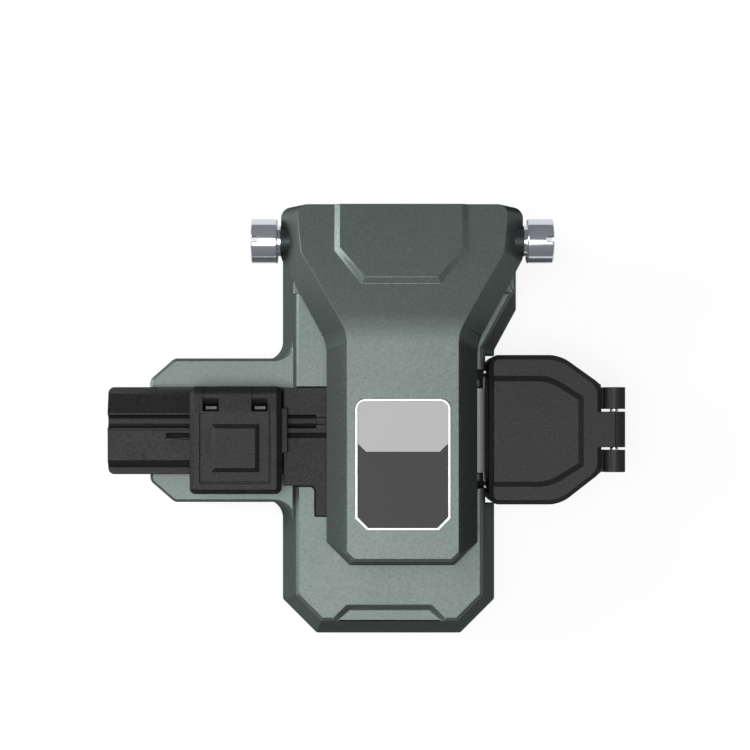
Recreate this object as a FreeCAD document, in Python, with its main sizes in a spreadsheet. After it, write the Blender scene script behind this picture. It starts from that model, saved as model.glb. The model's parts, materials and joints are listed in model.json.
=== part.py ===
import FreeCAD, Part
import math
import os

import Sketcher
from FreeCAD import Placement, Rotation, Vector

# Bench cleaver for optical fibre, in millimetres.
# X to the right, Y to the rear, Z up; the origin is on the table under the middle of the overall box.
# A lever hinged at the rear closes over a guide plate. Its drive arm pulls a carriage with a round
# blade under the fibre, between two pairs of clamps. The off-cut falls into a bin on the right.

SIZES = {
    # levels above the table
    "foot_height": 1.5,
    "base_top": 25.0,
    "wing_top": 20.0,
    "rear_deck": 20.5,
    "plate_top": 26.0,
    # base housing, in plan at its foot, and how far each side leans in at the top; its tail lies behind the axle
    "base_mid": 5.05,
    "base_half": 25.35,
    "base_front": 49.5,
    "base_tail": 7.75,
    "side_lean": 3.9,
    "front_lean": 5.05,
    "corner_cut": 8.15,
    "corner_cut_top": 5.85,
    "rear_cut": 6.0,
    "shoulder_half": 30.55,
    "shoulder_lean": 2.0,
    "shoulder_start": 18.25,
    "shoulder_slope": 1.85,
    "edge_break": 0.65,
    "base_wall": 3.0,
    "deck_step": 30.5,
    # wing on the left, which carries the fibre holder
    "wing_reach": 50.2,
    "wing_front": 17.45,
    "wing_rear": 15.75,
    "wing_cut_long": 5.6,
    "wing_cut_short": 4.9,
    "wing_blend": 4.5,
    "wing_corner": 2.0,
    "wing_edge": 0.5,
    # thumb recess at the front
    "recess_mid": 5.0,
    "recess_half": 9.75,
    "recess_flare": 2.95,
    "recess_rear": 40.8,
    "recess_deep": 0.9,
    "recess_bevel": 1.1,
    # cavity for the mechanism
    "cavity_left": 13.9,
    "cavity_right": 23.0,
    "cavity_front": 42.0,
    "rear_wall": 4.8,
    "cavity_step": 12.2,
    "trough_wall": 1.5,
    # bottom cover, its screws and the feet
    "cover_thick": 1.8,
    "cover_ledge": 1.9,
    "cover_cut": 4.0,
    "part_gap": 0.15,
    "boss_half": 3.4,
    "cover_screw_radius": 1.25,
    "cover_head_radius": 2.3,
    "cover_head_thick": 1.2,
    "screw_long": 7.0,
    "foot_radius": 4.5,
    "foot_inset": 7.6,
    "wing_foot_inset": 6.0,
    # notch in the right side for the scrap bin
    "notch_wall": 27.2,
    "notch_front": 19.15,
    "notch_rear": 17.75,
    # trough for the off-cut and its roller
    "trough_left": 20.0,
    "trough_front": 14.05,
    "trough_rear": 12.95,
    "trough_inner_floor": 18.6,
    "trough_outer_floor": 14.0,
    "roller_middle": 23.8,
    "roller_radius": 3.0,
    "roller_front": 10.6,
    "roller_rear": 8.8,
    "roller_drop": 0.3,
    "roller_shaft_radius": 1.25,
    "collar_radius": 2.3,
    "collar_long": 1.8,
    "running_gap": 0.05,
    # guide plate, sunk in the base top
    "plate_left": 19.16,
    "plate_right": 19.4,
    "plate_rear": 8.9,
    "plate_front": 20.31,
    "plate_step_side": 11.84,
    "plate_step_front": 13.49,
    "plate_sink": 1.5,
    "plate_fillet": 1.2,
    "wide_groove_middle": 1.17,
    "wide_groove_width": 2.96,
    "wide_groove_end": 11.7,
    "wide_groove_deep": 1.7,
    "thin_groove_middle": 1.28,
    "thin_groove_width": 1.6,
    "thin_groove_deep": 0.8,
    "fibre_line": -1.98,
    "fibre_groove_width": 1.1,
    "fibre_groove_deep": 0.55,
    "fibre_groove_start": 45.9,
    # fibre holder rail on the wing
    "rail_left": 59.3,
    "rail_gap": 0.2,
    "rail_front": 10.9,
    "rail_rear": 9.03,
    "rail_corner": 1.4,
    "rail_band": 1.6,
    "rail_band_drop": 1.7,
    "rail_slope_rear": 2.2,
    "rail_slope_front": 1.6,
    "rail_flat_drop": 0.25,
    "rail_ridge": 0.5,
    # clamp lid and its hinge
    "lid_left": 40.2,
    "lid_right": 19.5,
    "lid_front": 15.25,
    "lid_rear": 9.15,
    "lid_top": 31.0,
    "lid_gap": 0.1,
    "lid_chamfer": 1.0,
    "lid_corner": 1.3,
    "lid_fall_start": 3.2,
    "lid_rear_top": 30.6,
    "lid_curl": 2.0,
    "lid_pivot_y": 7.05,
    "lid_pivot_z": 28.5,
    "lid_pin_radius": 1.0,
    "lug_radius": 2.0,
    "window_left": 37.2,
    "window_middle_gap": 7.4,
    "window_wide": 3.65,
    "window_front": 3.55,
    "lug_gap": 0.2,
    "tab_thick": 0.8,
    "tab_gap": 0.3,
    "tab_high": 3.5,
    "tab_wide": 2.5,
    "pad_left": 35.2,
    "pad_right": 24.4,
    "pad_front": 10.25,
    "pad_rear": 0.55,
    "pad_raise": 0.7,
    "pad_bevel": 0.9,
    "line_left": 37.9,
    "line_right": 21.8,
    "line_front": 12.85,
    "line_left_rear": 3.05,
    "line_right_rear": 4.9,
    "line_wide": 0.4,
    "line_deep": 0.35,
    "tongue_reach": 18.2,
    "tongue_front": 5.95,
    "tongue_rear": 4.15,
    "tongue_thick": 2.6,
    "clamp_rubber_wide": 3.5,
    "clamp_rubber_thick": 1.4,
    "magnet_radius": 1.5,
    "magnet_deep": 2.0,
    "magnet_line": 6.1,
    # lever cover
    "lever_mid": 7.8,
    "lever_foot": 26.0,
    "lever_side": 31.0,
    "lever_top": 43.0,
    "lever_form_spare": 2.0,
    "arm_half": 17.0,
    "rear_half": 27.3,
    "lever_front": 31.25,
    "lever_tail": 7.75,
    "lever_cut": 5.2,
    "lever_cut_lean": 0.32,
    "bend_start": 18.8,
    "bend_end": 37.95,
    "arm_lean": 0.392,
    "rear_lean": 0.533,
    "lever_front_lean": 0.133,
    "bend_start_lean": 0.142,
    "bend_end_lean": 0.0875,
    "bend_start_radius": 9.0,
    "bend_end_radius": 3.0,
    "lever_corner": 2.5,
    "lever_wall": 2.2,
    "lever_roof": 2.4,
    "slope_start": 22.0,
    "slope_angle": 10.3,
    "slope_radius": 40.0,
    "lever_edge": 0.6,
    # raised panel at the rear of the lever
    "panel_half": 14.85,
    "panel_end_half": 8.8,
    "panel_front": 31.65,
    "panel_bend": 39.05,
    "panel_raise": 0.8,
    "panel_bevel": 1.3,
    # label plate let into the arm
    "label_half": 10.45,
    "label_front": 22.7,
    "label_rear": 6.15,
    "label_corner": 2.0,
    "label_cut": 2.8,
    "label_sink": 0.4,
    "label_proud": 0.2,
    "label_border": 0.5,
    # lever hinge
    "axle_y": 41.75,
    "axle_z": 32.0,
    "axle_radius": 3.0,
    "hinge_lug_half": 19.5,
    "hinge_lug_thick": 4.5,
    "hinge_lug_radius": 4.2,
    "hinge_lug_front": 15.75,
    "hinge_lug_rear": 6.5,
    "knob_radius": 5.0,
    "knob_long": 6.2,
    "knob_neck": 0.4,
    "knob_chamfer": 0.6,
    "knob_slot_wide": 1.2,
    "knob_slot_deep": 2.2,
    # drive arm on the axle, and the slotted yoke that its pin works in
    "arm_reach": 21.0,
    "arm_angle": 3.0,
    "lever_swing": 45.0,
    "arm_thick": 3.3,
    "arm_inner": 3.5,
    "arm_hub_radius": 4.4,
    "arm_tip_radius": 3.0,
    "drive_pin_radius": 1.5,
    "pin_reach": 11.6,
    "yoke_inner": 0.4,
    "yoke_thick": 3.0,
    "yoke_slot_half": 2.0,
    "yoke_prong": 2.0,
    "yoke_offset": 0.345,
    "yoke_foot": 5.0,
    "yoke_floor_gap": 0.33,
    "yoke_floor_step": 0.2,
    "yoke_overlap": 0.85,
    "yoke_flange_half": 5.0,
    "yoke_flange_thick": 2.2,
    "yoke_flange_high": 6.0,
    "drive_slot_front": 24.3,
    "drive_slot_tail": 3.25,
    "drive_slot_side": 4.5,
    # blade carriage on its two rods
    "carriage_half": 14.3,
    "carriage_half_long": 14.0,
    "carriage_foot": 3.9,
    "carriage_top": 11.5,
    "rod_spread": 9.8,
    "rod_radius": 2.5,
    "rod_z": 7.7,
    "rod_boss_half": 4.0,
    "rod_boss_thick": 5.0,
    "rod_boss_gap": 2.6,
    "cheek_inner": 2.4,
    "cheek_outer": 6.6,
    "cheek_half_long": 6.0,
    "cheek_top": 19.5,
    "blade_radius": 10.0,
    "blade_half_thick": 1.5,
    "blade_bevel": 1.4,
    "blade_drop": 0.4,
    "blade_bore": 2.5,
    "shaft_head_radius": 4.0,
    "shaft_head_thick": 1.5,
    "nut_radius": 4.0,
    "nut_thick": 3.0,
    "height_screw_radius": 1.5,
    "height_screw_y": 10.5,
    # clamps and anvil
    "block_half": 13.2,
    "block_front": 12.0,
    "block_rear": 8.0,
    "block_foot": 28.5,
    "block_shoulder": 33.0,
    "block_neck_half": 9.6,
    "clamp_inner": 5.0,
    "clamp_outer": 11.4,
    "clamp_half_long": 3.2,
    "clamp_seat_high": 36.5,
    "clamp_slide_top": 33.2,
    "clamp_lift": 0.05,
    "clamp_side_gap": 0.15,
    "rubber_thick": 1.2,
    "rubber_inset": 0.4,
    "lower_rubber_deep": 2.0,
    "anvil_half": 1.6,
    "anvil_half_long": 3.0,
    "anvil_foot": 27.2,
    "anvil_head": 34.0,
    "anvil_gap": 0.3,
    "spring_radius": 1.7,
    "spring_bore": 0.7,
    "spring_leaf": 0.3,
    "spring_side_gap": 0.4,
    "pinch_wide": 1.4,
    "pinch_thick": 1.2,
    "pinch_drop": 0.15,
    "block_screw_radius": 1.25,
    "small_head_radius": 2.2,
    "small_head_thick": 1.3,
    # scrap bin, its lid and the lid's hinge
    "bin_left": 27.9,
    "bin_right": 53.7,
    "bin_front": 17.88,
    "bin_rear": 16.43,
    "bin_foot": 1.9,
    "bin_rim": 21.9,
    "bin_wall": 1.6,
    "bin_left_corner": 2.2,
    "bin_cut_long": 9.5,
    "bin_cut_rear": 6.8,
    "bin_cut_front": 7.4,
    "scrap_lid_thick": 2.1,
    "scrap_lid_chamfer": 1.0,
    "scrap_lid_lip": 1.2,
    "scrap_panel_raise": 0.6,
    "scrap_panel_right": 48.9,
    "scrap_panel_rear": 11.0,
    "scrap_panel_front": 13.2,
    "scrap_panel_cut": 4.5,
    "scrap_panel_bevel": 1.2,
    "barrel_x": 56.775,
    "barrel_z": 21.5,
    "barrel_radius": 2.525,
    "barrel_rear": 9.05,
    "barrel_front": 10.45,
    "barrel_lid_rear": 3.45,
    "barrel_lid_front": 4.75,
    "barrel_gap": 0.6,
    "scrap_pin_radius": 0.95,
    "scrap_window_front": 10.5,
    "scrap_window_rear": 8.7,
    "scrap_window_foot": 12.2,
    "scrap_window_top": 19.4,
    "peg_radius": 1.5,
    "peg_spread": 13.6,
    "peg_z": 8.0,
    "peg_seat": 3.5,
    "peg_reach": 3.6,
    "peg_gap": 0.08,
}

doc = FreeCAD.newDocument("fibre_cleaver")
sheet = doc.addObject("Spreadsheet::Sheet", "sizes")
for row, (alias, amount) in enumerate(SIZES.items(), 1):
    sheet.set(f"A{row}", alias)
    sheet.set(f"B{row}", str(amount))
    sheet.setAlias(f"B{row}", alias)
doc.recompute()


class Dim:
    """A size in millimetres that remembers the spreadsheet expression it comes from."""

    def __init__(self, text, value):
        self.text = text
        self.value = value

    def __add__(self, other):
        return Dim(f"({self.text} + {words(other)})", self.value + number(other))

    def __radd__(self, other):
        return dim(other) + self

    def __sub__(self, other):
        return Dim(f"({self.text} - {words(other)})", self.value - number(other))

    def __rsub__(self, other):
        return dim(other) - self

    def __mul__(self, other):
        return Dim(f"({self.text} * {words(other)})", self.value * number(other))

    def __rmul__(self, other):
        return dim(other) * self

    def __truediv__(self, other):
        return Dim(f"({self.text} / {words(other)})", self.value / number(other))

    def __neg__(self):
        return Dim(f"(0 - {self.text})", -self.value)


def number(entry):
    return entry.value if isinstance(entry, Dim) else float(entry)


def words(entry):
    return entry.text if isinstance(entry, Dim) else repr(float(entry))


def dim(entry):
    return entry if isinstance(entry, Dim) else Dim(words(entry), float(entry))


def turned(name, angle):
    """The sine, cosine or tangent of an angle in degrees, as a size."""
    value = getattr(math, name)(math.radians(number(angle)))
    return Dim(f"{name}({words(angle)} * 1 deg)", value)


class Sizes:
    """Each cell of the sheet by its alias, so that size.base_top is a Dim."""

    def __getattr__(self, alias):
        return Dim(f"sizes.{alias}", float(SIZES[alias]))


size = Sizes()
PARTS = []


def bind(thing, path, entry):
    thing.setExpression(path, words(entry))


def body(name, kept=True):
    thing = doc.addObject("PartDesign::Body", name)
    thing.Label = name
    if kept:
        PARTS.append(thing)
    return thing


def sketch(owner, name, plane, level, outline=(), circles=(), at=(0, 0), tilt=None):
    """Closed outline of (x, y) or (x, y, radius) corners, and circles of (x, y, radius)."""
    drawing = owner.newObject("Sketcher::SketchObject", name)
    origin_plane = [o for o in owner.Origin.OriginFeatures if o.Role == f"{plane}_Plane"][0]
    drawing.AttachmentSupport = [(origin_plane, "")]
    drawing.MapMode = "FlatFace"
    if tilt is not None:
        drawing.AttachmentOffset = Placement(Vector(), Rotation(Vector(1, 0, 0), 1))
        bind(drawing, "AttachmentOffset.Rotation.Angle", tilt)
    bind(drawing, "AttachmentOffset.Base.x", at[0])
    bind(drawing, "AttachmentOffset.Base.y", at[1])
    bind(drawing, "AttachmentOffset.Base.z", level)
    corners = [Vector(number(c[0]), number(c[1]), 0) for c in outline]
    count = len(corners)
    for i in range(count):
        drawing.addGeometry(Part.LineSegment(corners[i], corners[(i + 1) % count]))
    for i in range(count):
        drawing.addConstraint(Sketcher.Constraint("Coincident", i, 2, (i + 1) % count, 1))
    for i, corner in enumerate(outline):
        pin_point(drawing, i, 1, corner)
    for i, corner in enumerate(outline):
        if len(corner) > 2:
            before = corners[i - 1] * 0.5 + corners[i] * 0.5
            after = corners[(i + 1) % count] * 0.5 + corners[i] * 0.5
            first = (i - 1) % count
            drawing.fillet(first, i, before, after, number(corner[2]), True, True)
            arc = max(g for g in range(drawing.GeometryCount)
                      if isinstance(drawing.Geometry[g], Part.ArcOfCircle))
            mark = drawing.addConstraint(Sketcher.Constraint("Radius", arc, number(corner[2])))
            bind(drawing, f"Constraints[{mark}]", corner[2])
    for x, y, radius in circles:
        centre = Vector(number(x), number(y), 0)
        place = drawing.addGeometry(Part.Circle(centre, Vector(0, 0, 1), number(radius)))
        pin_point(drawing, place, 3, (x, y))
        mark = drawing.addConstraint(Sketcher.Constraint("Radius", place, number(radius)))
        bind(drawing, f"Constraints[{mark}]", radius)
    return drawing


def pin_point(drawing, place, end, point):
    """Ties a point's two coordinates to the sheet."""
    for kind, entry in (("DistanceX", point[0]), ("DistanceY", point[1])):
        mark = drawing.addConstraint(Sketcher.Constraint(kind, -1, 1, place, end, number(entry)))
        bind(drawing, f"Constraints[{mark}]", entry)


def prism(owner, name, plane, start, end, outline=(), circles=(), cut=False):
    """Straight extrusion between two levels along X (YZ plane), Y (XZ plane) or Z (XY plane)."""
    level = -dim(end) if plane == "XZ" else start
    drawing = sketch(owner, f"{name}_outline", plane, level, outline, circles)
    feature = owner.newObject("PartDesign::Pocket" if cut else "PartDesign::Pad", name)
    feature.Profile = drawing
    feature.Reversed = cut
    bind(feature, "Length", dim(end) - start)
    return feature


def loft(owner, name, low, high, cut=False, tilt=None):
    """Straight-sided loft between two (level, outline) pairs."""
    kind = "PartDesign::SubtractiveLoft" if cut else "PartDesign::AdditiveLoft"
    first = sketch(owner, f"{name}_low", "XY", low[0], low[1], tilt=tilt, at=low[2:] or (0, 0))
    last = sketch(owner, f"{name}_high", "XY", high[0], high[1], tilt=tilt, at=high[2:] or (0, 0))
    feature = owner.newObject(kind, name)
    feature.Profile = first
    feature.Sections = [last]
    feature.Ruled = True
    return feature


def spun(owner, name, plane, at, outline, axis, cut=False, level=0):
    """Outline turned about a sketch axis that passes through the point `at`."""
    drawing = sketch(owner, f"{name}_outline", plane, level, outline, at=at)
    feature = owner.newObject("PartDesign::Groove" if cut else "PartDesign::Revolution", name)
    feature.Profile = drawing
    feature.ReferenceAxis = (drawing, [axis])
    feature.Angle = 360.0
    return feature


def edges_within(owner, low, high):
    """Names of the tip's edges that lie inside a box, where None is no limit."""
    doc.recompute()
    shape = owner.Tip.Shape
    names = []
    for i, edge in enumerate(shape.Edges, 1):
        box = edge.BoundBox
        lows = (box.XMin, box.YMin, box.ZMin)
        highs = (box.XMax, box.YMax, box.ZMax)
        above = all(limit is None or lows[k] > number(limit) - 0.02 for k, limit in enumerate(low))
        below = all(limit is None or highs[k] < number(limit) + 0.02 for k, limit in enumerate(high))
        if above and below:
            names.append(f"Edge{i}")
    return names


def finish_edges(owner, name, kind, amount, *boxes):
    """Fillet or chamfer on the edges inside the boxes."""
    names = sorted({edge for box in boxes for edge in edges_within(owner, *box)})
    base = owner.Tip
    feature = owner.newObject(f"PartDesign::{kind}", name)
    feature.Base = (base, names)
    bind(feature, "Radius" if kind == "Fillet" else "Size", amount)
    return feature


def rectangle(left, right, front, rear, *radius):
    return [(left, front, *radius), (right, front, *radius), (right, rear, *radius), (left, rear, *radius)]


TURNS = {"X": Rotation(Vector(0, 1, 0), 90), "Y": Rotation(Vector(1, 0, 0), -90), "Z": Rotation()}


def rod(name, axis, start, end, across, radius, kept=True):
    """Cylinder along an axis from start to end; `across` holds its other two coordinates."""
    thing = doc.addObject("Part::Cylinder", name)
    thing.Label = name
    thing.Placement = Placement(Vector(), TURNS[axis])
    places = {"X": (start, *across), "Y": (across[0], start, across[1]), "Z": (*across, start)}[axis]
    for letter, entry in zip("xyz", places):
        bind(thing, f"Placement.Base.{letter}", entry)
    bind(thing, "Radius", radius)
    bind(thing, "Height", dim(end) - start)
    if kept:
        PARTS.append(thing)
    return thing


def group(name, pieces, kind="Part::Compound", kept=True):
    """Separate solids in one node (Part::Compound), or joined into one (Part::MultiFuse)."""
    thing = doc.addObject(kind, name)
    thing.Label = name
    if kind == "Part::Compound":
        thing.Links = pieces
    else:
        thing.Shapes = pieces
    if kept:
        PARTS.append(thing)
    return thing


def cut_from(name, whole, tool, kept=True):
    thing = doc.addObject("Part::Cut", name)
    thing.Label = name
    thing.Base = whole
    thing.Tool = tool
    if kept:
        PARTS.append(thing)
    return thing


def screw(name, axis, head_face, inward, across, shank, head, head_thick, long):
    """Cap screw whose head face is at head_face and whose shank runs along `inward` (+1 or -1)."""
    under = dim(head_face) + inward * dim(head_thick)
    tip = under + inward * dim(long)
    spans = [(head_face, under, head), (under, tip, shank)]
    pieces = []
    for i, (start, end, radius) in enumerate(spans):
        low, high = (start, end) if inward > 0 else (end, start)
        pieces.append(rod(f"{name}_{i}", axis, low, high, across, radius, kept=False))
    solid = group(f"{name}_solid", pieces, "Part::MultiFuse", kept=False)
    socket_end = dim(head_face) + inward * dim(head_thick) * 0.6
    low, high = (head_face, socket_end) if inward > 0 else (socket_end, head_face)
    socket = doc.addObject("Part::Prism", f"{name}_socket")
    socket.Polygon = 6
    socket.Placement = Placement(Vector(), TURNS[axis])
    places = {"X": (low, *across), "Y": (across[0], low, across[1]), "Z": (*across, low)}[axis]
    for letter, entry in zip("xyz", places):
        bind(socket, f"Placement.Base.{letter}", entry)
    bind(socket, "Circumradius", dim(head) * 0.5)
    bind(socket, "Height", dim(high) - low)
    return cut_from(name, solid, socket, kept=False)


# Cone washers in each clamp spring
CONES = 6

# Places that several pieces share

base_foot = size.foot_height
right_foot = size.base_mid + size.base_half
left_foot = size.base_mid - size.base_half
plate_foot = size.base_top - size.plate_sink
rail_flat = size.plate_top - size.rail_flat_drop
lid_foot = size.plate_top + size.lid_gap
blade_z = size.plate_top - size.blade_drop - size.blade_radius
base_back = size.axle_y + size.base_tail
cavity_back = base_back - size.rear_wall
lever_back = size.axle_y + size.lever_tail

arm_end_angle = size.arm_angle + size.lever_swing
pin_y = size.axle_y - size.arm_reach * turned("sin", size.arm_angle)
pin_z = size.axle_z - size.arm_reach * turned("cos", size.arm_angle)
travel = size.arm_reach * (turned("sin", arm_end_angle) - turned("sin", size.arm_angle))
carriage_y = size.fibre_line + travel / 2
yoke_y = pin_y - size.yoke_offset

roller_z = size.plate_top - size.roller_drop - size.roller_radius
lever_left = size.lever_mid - size.rear_half
lever_right = size.lever_mid + size.rear_half


def base_outline(lean, cut, rear_cut, inset=0):
    """Plan of the base, drawn in by an inset: lean is 0 at the foot and 1 at the top."""
    left = left_foot + size.side_lean * lean + inset
    right = right_foot - size.side_lean * lean - inset
    front = -size.base_front + size.front_lean * lean + inset
    rear = base_back - size.side_lean * lean - inset
    shoulder = size.base_mid + size.shoulder_half - size.shoulder_lean * lean - inset
    start = size.shoulder_start - size.edge_break * 0.5 * lean + dim(inset) * 0.25
    bend = start + (shoulder - right) * size.shoulder_slope
    cut = dim(cut) - dim(inset) * 0.586
    rear_cut = dim(rear_cut) - dim(inset) * 0.586
    return [(left, front + cut), (left + cut, front), (right - cut, front), (right, front + cut),
            (right, start), (shoulder, bend), (shoulder, rear - rear_cut), (shoulder - rear_cut, rear),
            (left + rear_cut, rear), (left, rear - rear_cut)]


def plate_outline(gap):
    """Plan of the L-shaped guide plate, or of the pocket that it lies in when the gap is added."""
    left = -size.plate_left - gap
    right = size.plate_right + gap
    rear = size.plate_rear + gap
    front = -size.plate_front - gap
    step_x = -size.plate_step_side - gap
    step_y = -size.plate_step_front - gap
    return [(left, step_y), (step_x, step_y, size.plate_fillet), (step_x, front), (right, front),
            (right, rear), (left, rear)]


def cover_outline(gap):
    """Plan of the bottom cover's seat in the base, or of the cover when the gap is taken off."""
    left = -size.cavity_left - size.cover_ledge + gap
    right = size.cavity_right + size.cover_ledge - gap
    front = -size.cavity_front - size.cover_ledge + gap
    rear = cavity_back + size.cover_ledge - gap
    cut = size.cover_cut
    return [(left, front + cut), (left + cut, front), (right - cut, front), (right, front + cut),
            (right, rear - cut), (right - cut, rear), (left + cut, rear), (left, rear - cut)]


# The four corners where the cover is screwed to the base
BOSSES = [(x, y) for x in (size.boss_half - size.cavity_left, size.cavity_right - size.boss_half)
          for y in (size.boss_half - size.cavity_front, cavity_back - size.boss_half)]


def base_housing():
    """Die-cast base: drafted body, wing, hinge lugs, and a cavity that is open below."""
    base = body("base_housing")
    top = size.base_top
    edge = size.edge_break
    walls_top = base_outline(1, size.corner_cut_top, size.rear_cut)
    loft(base, "walls", (base_foot, base_outline(0, size.corner_cut, size.rear_cut)),
         (top - edge, walls_top))
    loft(base, "top_edge", (top - edge, walls_top),
         (top, base_outline(1, size.corner_cut_top, size.rear_cut, edge)))
    wing_left = -size.wing_reach
    wing_side = wing_left + size.wing_cut_long
    prism(base, "wing", "XY", base_foot, size.wing_top,
          [(wing_left, -size.wing_front + size.wing_cut_short, size.wing_corner),
           (wing_side, -size.wing_front, size.wing_corner), (0, -size.wing_front),
           (0, size.wing_rear), (wing_side, size.wing_rear, size.wing_corner),
           (wing_left, size.wing_rear - size.wing_cut_short, size.wing_corner)])
    joint_low = left_foot - 0.5
    joint_high = left_foot + size.side_lean
    finish_edges(base, "wing_blend", "Fillet", size.wing_blend,
                 ((joint_low, size.wing_rear, None), (joint_high, size.wing_rear, None)),
                 ((joint_low, -size.wing_front, None), (joint_high, -size.wing_front, None)))
    finish_edges(base, "wing_edges", "Chamfer", size.wing_edge,
                 ((None, None, size.wing_top), (left_foot - size.wing_blend, None, size.wing_top)))
    base_cavity(base)
    base_lugs(base)
    base_top_cuts(base)
    base_notch(base)
    return base


def base_cavity(base):
    """Hollow for the carriage: lower part, upper part beside the trough wall, and low rear part."""
    left = -size.cavity_left
    front = -size.cavity_front
    rear = cavity_back
    roof = size.base_top - size.base_wall
    rear_roof = size.rear_deck - size.base_wall
    upper_right = size.trough_left - size.trough_wall
    step = size.cavity_step
    prism(base, "cover_seat", "XY", base_foot, base_foot + size.cover_thick, cover_outline(0), cut=True)
    prism(base, "rear_step", "YZ", left_foot - 10, right_foot + 20,
          [(size.deck_step, size.rear_deck), (base_back + 1, size.rear_deck),
           (base_back + 1, size.base_top + 1), (size.deck_step, size.base_top + 1)], cut=True)
    prism(base, "lower_hollow", "XY", base_foot, step,
          rectangle(left, size.cavity_right, front, rear), cut=True)
    inner_rear = size.deck_step - size.base_wall
    prism(base, "upper_hollow", "XY", step, roof,
          rectangle(left, upper_right, front, inner_rear), cut=True)
    prism(base, "rear_hollow", "XY", step, rear_roof,
          rectangle(left, size.cavity_right, inner_rear - 1, rear), cut=True)
    for i, (x, y) in enumerate(BOSSES):
        half = size.boss_half
        prism(base, f"boss_{i}", "XY", base_foot + size.cover_thick, rear_roof + 1,
              rectangle(x - half, x + half, y - half, y + half))
    screws = [(x, y, size.cover_screw_radius) for x, y in BOSSES]
    prism(base, "boss_holes", "XY", base_foot + size.cover_thick - 1,
          base_foot + size.cover_thick + size.screw_long, circles=screws, cut=True)
    for i, (front_face, rear_face) in enumerate(rod_bosses()):
        for side in (-1, 1):
            middle = size.lever_mid + side * size.rod_spread
            prism(base, f"rod_boss_{i}_{side + 1}", "XY", size.rod_z - size.rod_boss_half, roof + 1,
                  rectangle(middle - size.rod_boss_half, middle + size.rod_boss_half,
                            front_face, rear_face))
    holes = [(size.lever_mid + side * size.rod_spread, size.rod_z, size.rod_radius) for side in (-1, 1)]
    prism(base, "rod_holes", "XZ", rod_bosses()[0][0], rod_bosses()[1][1], circles=holes, cut=True)


def rod_bosses():
    """Front and rear faces, in Y, of the two pairs of bosses that hold the rods."""
    front_end = carriage_y - travel - size.carriage_half_long - size.rod_boss_gap
    rear_end = carriage_y + size.carriage_half_long + size.rod_boss_gap
    return [(front_end - size.rod_boss_thick, front_end), (rear_end, rear_end + size.rod_boss_thick)]


def base_lugs(base):
    """Two lugs that carry the axle; they lean forward so that the lever's rear wall clears them."""
    for side in (-1, 1):
        inner = size.lever_mid + side * (size.hinge_lug_half - size.hinge_lug_thick)
        outer = size.lever_mid + side * size.hinge_lug_half
        low, high = (outer, inner) if side < 0 else (inner, outer)
        name = "left" if side < 0 else "right"
        lean = size.hinge_lug_radius * 0.72
        prism(base, f"lug_{name}", "YZ", low, high,
              [(size.axle_y - size.hinge_lug_front, size.rear_deck - 1),
               (size.axle_y - size.hinge_lug_rear, size.rear_deck - 1),
               (size.axle_y + lean, size.axle_z - lean), (size.axle_y - lean, size.axle_z + lean)])
        prism(base, f"hub_{name}", "YZ", low, high,
              circles=[(size.axle_y, size.axle_z, size.hinge_lug_radius)])
    prism(base, "axle_bore", "YZ", size.lever_mid - size.rear_half, size.lever_mid + size.rear_half,
          circles=[(size.axle_y, size.axle_z, size.axle_radius + size.running_gap)], cut=True)


def base_top_cuts(base):
    """Thumb recess, guide plate pocket, blade slot, drive slot and trough."""
    top = size.base_top
    half = size.recess_half
    rear = -size.recess_rear
    front = -size.base_front + size.front_lean - 1
    flare = size.recess_flare

    def recess(bevel):
        inner = half - bevel * 0.6
        return [(size.recess_mid - inner - flare, front - 2), (size.recess_mid + inner + flare, front - 2),
                (size.recess_mid + inner + flare, rear - flare - bevel * 0.6),
                (size.recess_mid + inner, rear - bevel), (size.recess_mid - inner, rear - bevel),
                (size.recess_mid - inner - flare, rear - flare - bevel * 0.6)]
    loft(base, "thumb_recess", (top - size.recess_deep, recess(size.recess_bevel)), (top, recess(0)),
         cut=True)
    prism(base, "plate_pocket", "XY", plate_foot, top + 1, plate_outline(size.part_gap), cut=True)
    open_y = carriage_y - travel
    reach = size.blade_radius - size.edge_break * 3
    prism(base, "blade_slot", "XY", top - size.base_wall - 1, top + 1,
          rectangle(size.lever_mid - size.cheek_inner, size.lever_mid + size.cheek_inner,
                    open_y - reach, carriage_y + reach), cut=True)
    screws = [(x, y, size.block_screw_radius) for x, y in plate_screw_places()]
    prism(base, "plate_screw_holes", "XY", top - size.base_wall - 1, plate_foot + 1,
          circles=screws, cut=True)
    prism(base, "drive_slot", "XY", size.rear_deck - size.base_wall - 1, top + 1,
          rectangle(size.lever_mid - size.drive_slot_side, size.lever_mid + size.drive_slot_side,
                    size.drive_slot_front, size.axle_y + size.drive_slot_tail), cut=True)
    out = size.notch_wall + 6
    prism(base, "trough", "XZ", -size.trough_front, size.trough_rear,
          [(size.trough_left, size.trough_inner_floor), (size.notch_wall, size.trough_outer_floor),
           (out, size.trough_outer_floor), (out, top + 1), (size.trough_left, top + 1)], cut=True)
    prism(base, "roller_holes", "XZ", -size.trough_front - 2, size.trough_rear + 2,
          circles=[(size.roller_middle, roller_z, size.roller_shaft_radius)], cut=True)


def base_notch(base):
    """Right side cut away for the bin, with the holes of the pegs that carry it."""
    prism(base, "bin_notch", "XY", base_foot - 1, size.base_top + 1,
          rectangle(size.notch_wall, right_foot + 20, -size.notch_front, size.notch_rear), cut=True)
    pegs = [(side * size.peg_spread - size.edge_break, size.peg_z, size.peg_radius) for side in (-1, 1)]
    prism(base, "peg_holes", "YZ", size.notch_wall - size.peg_seat, size.notch_wall + 1,
          circles=pegs, cut=True)


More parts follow.
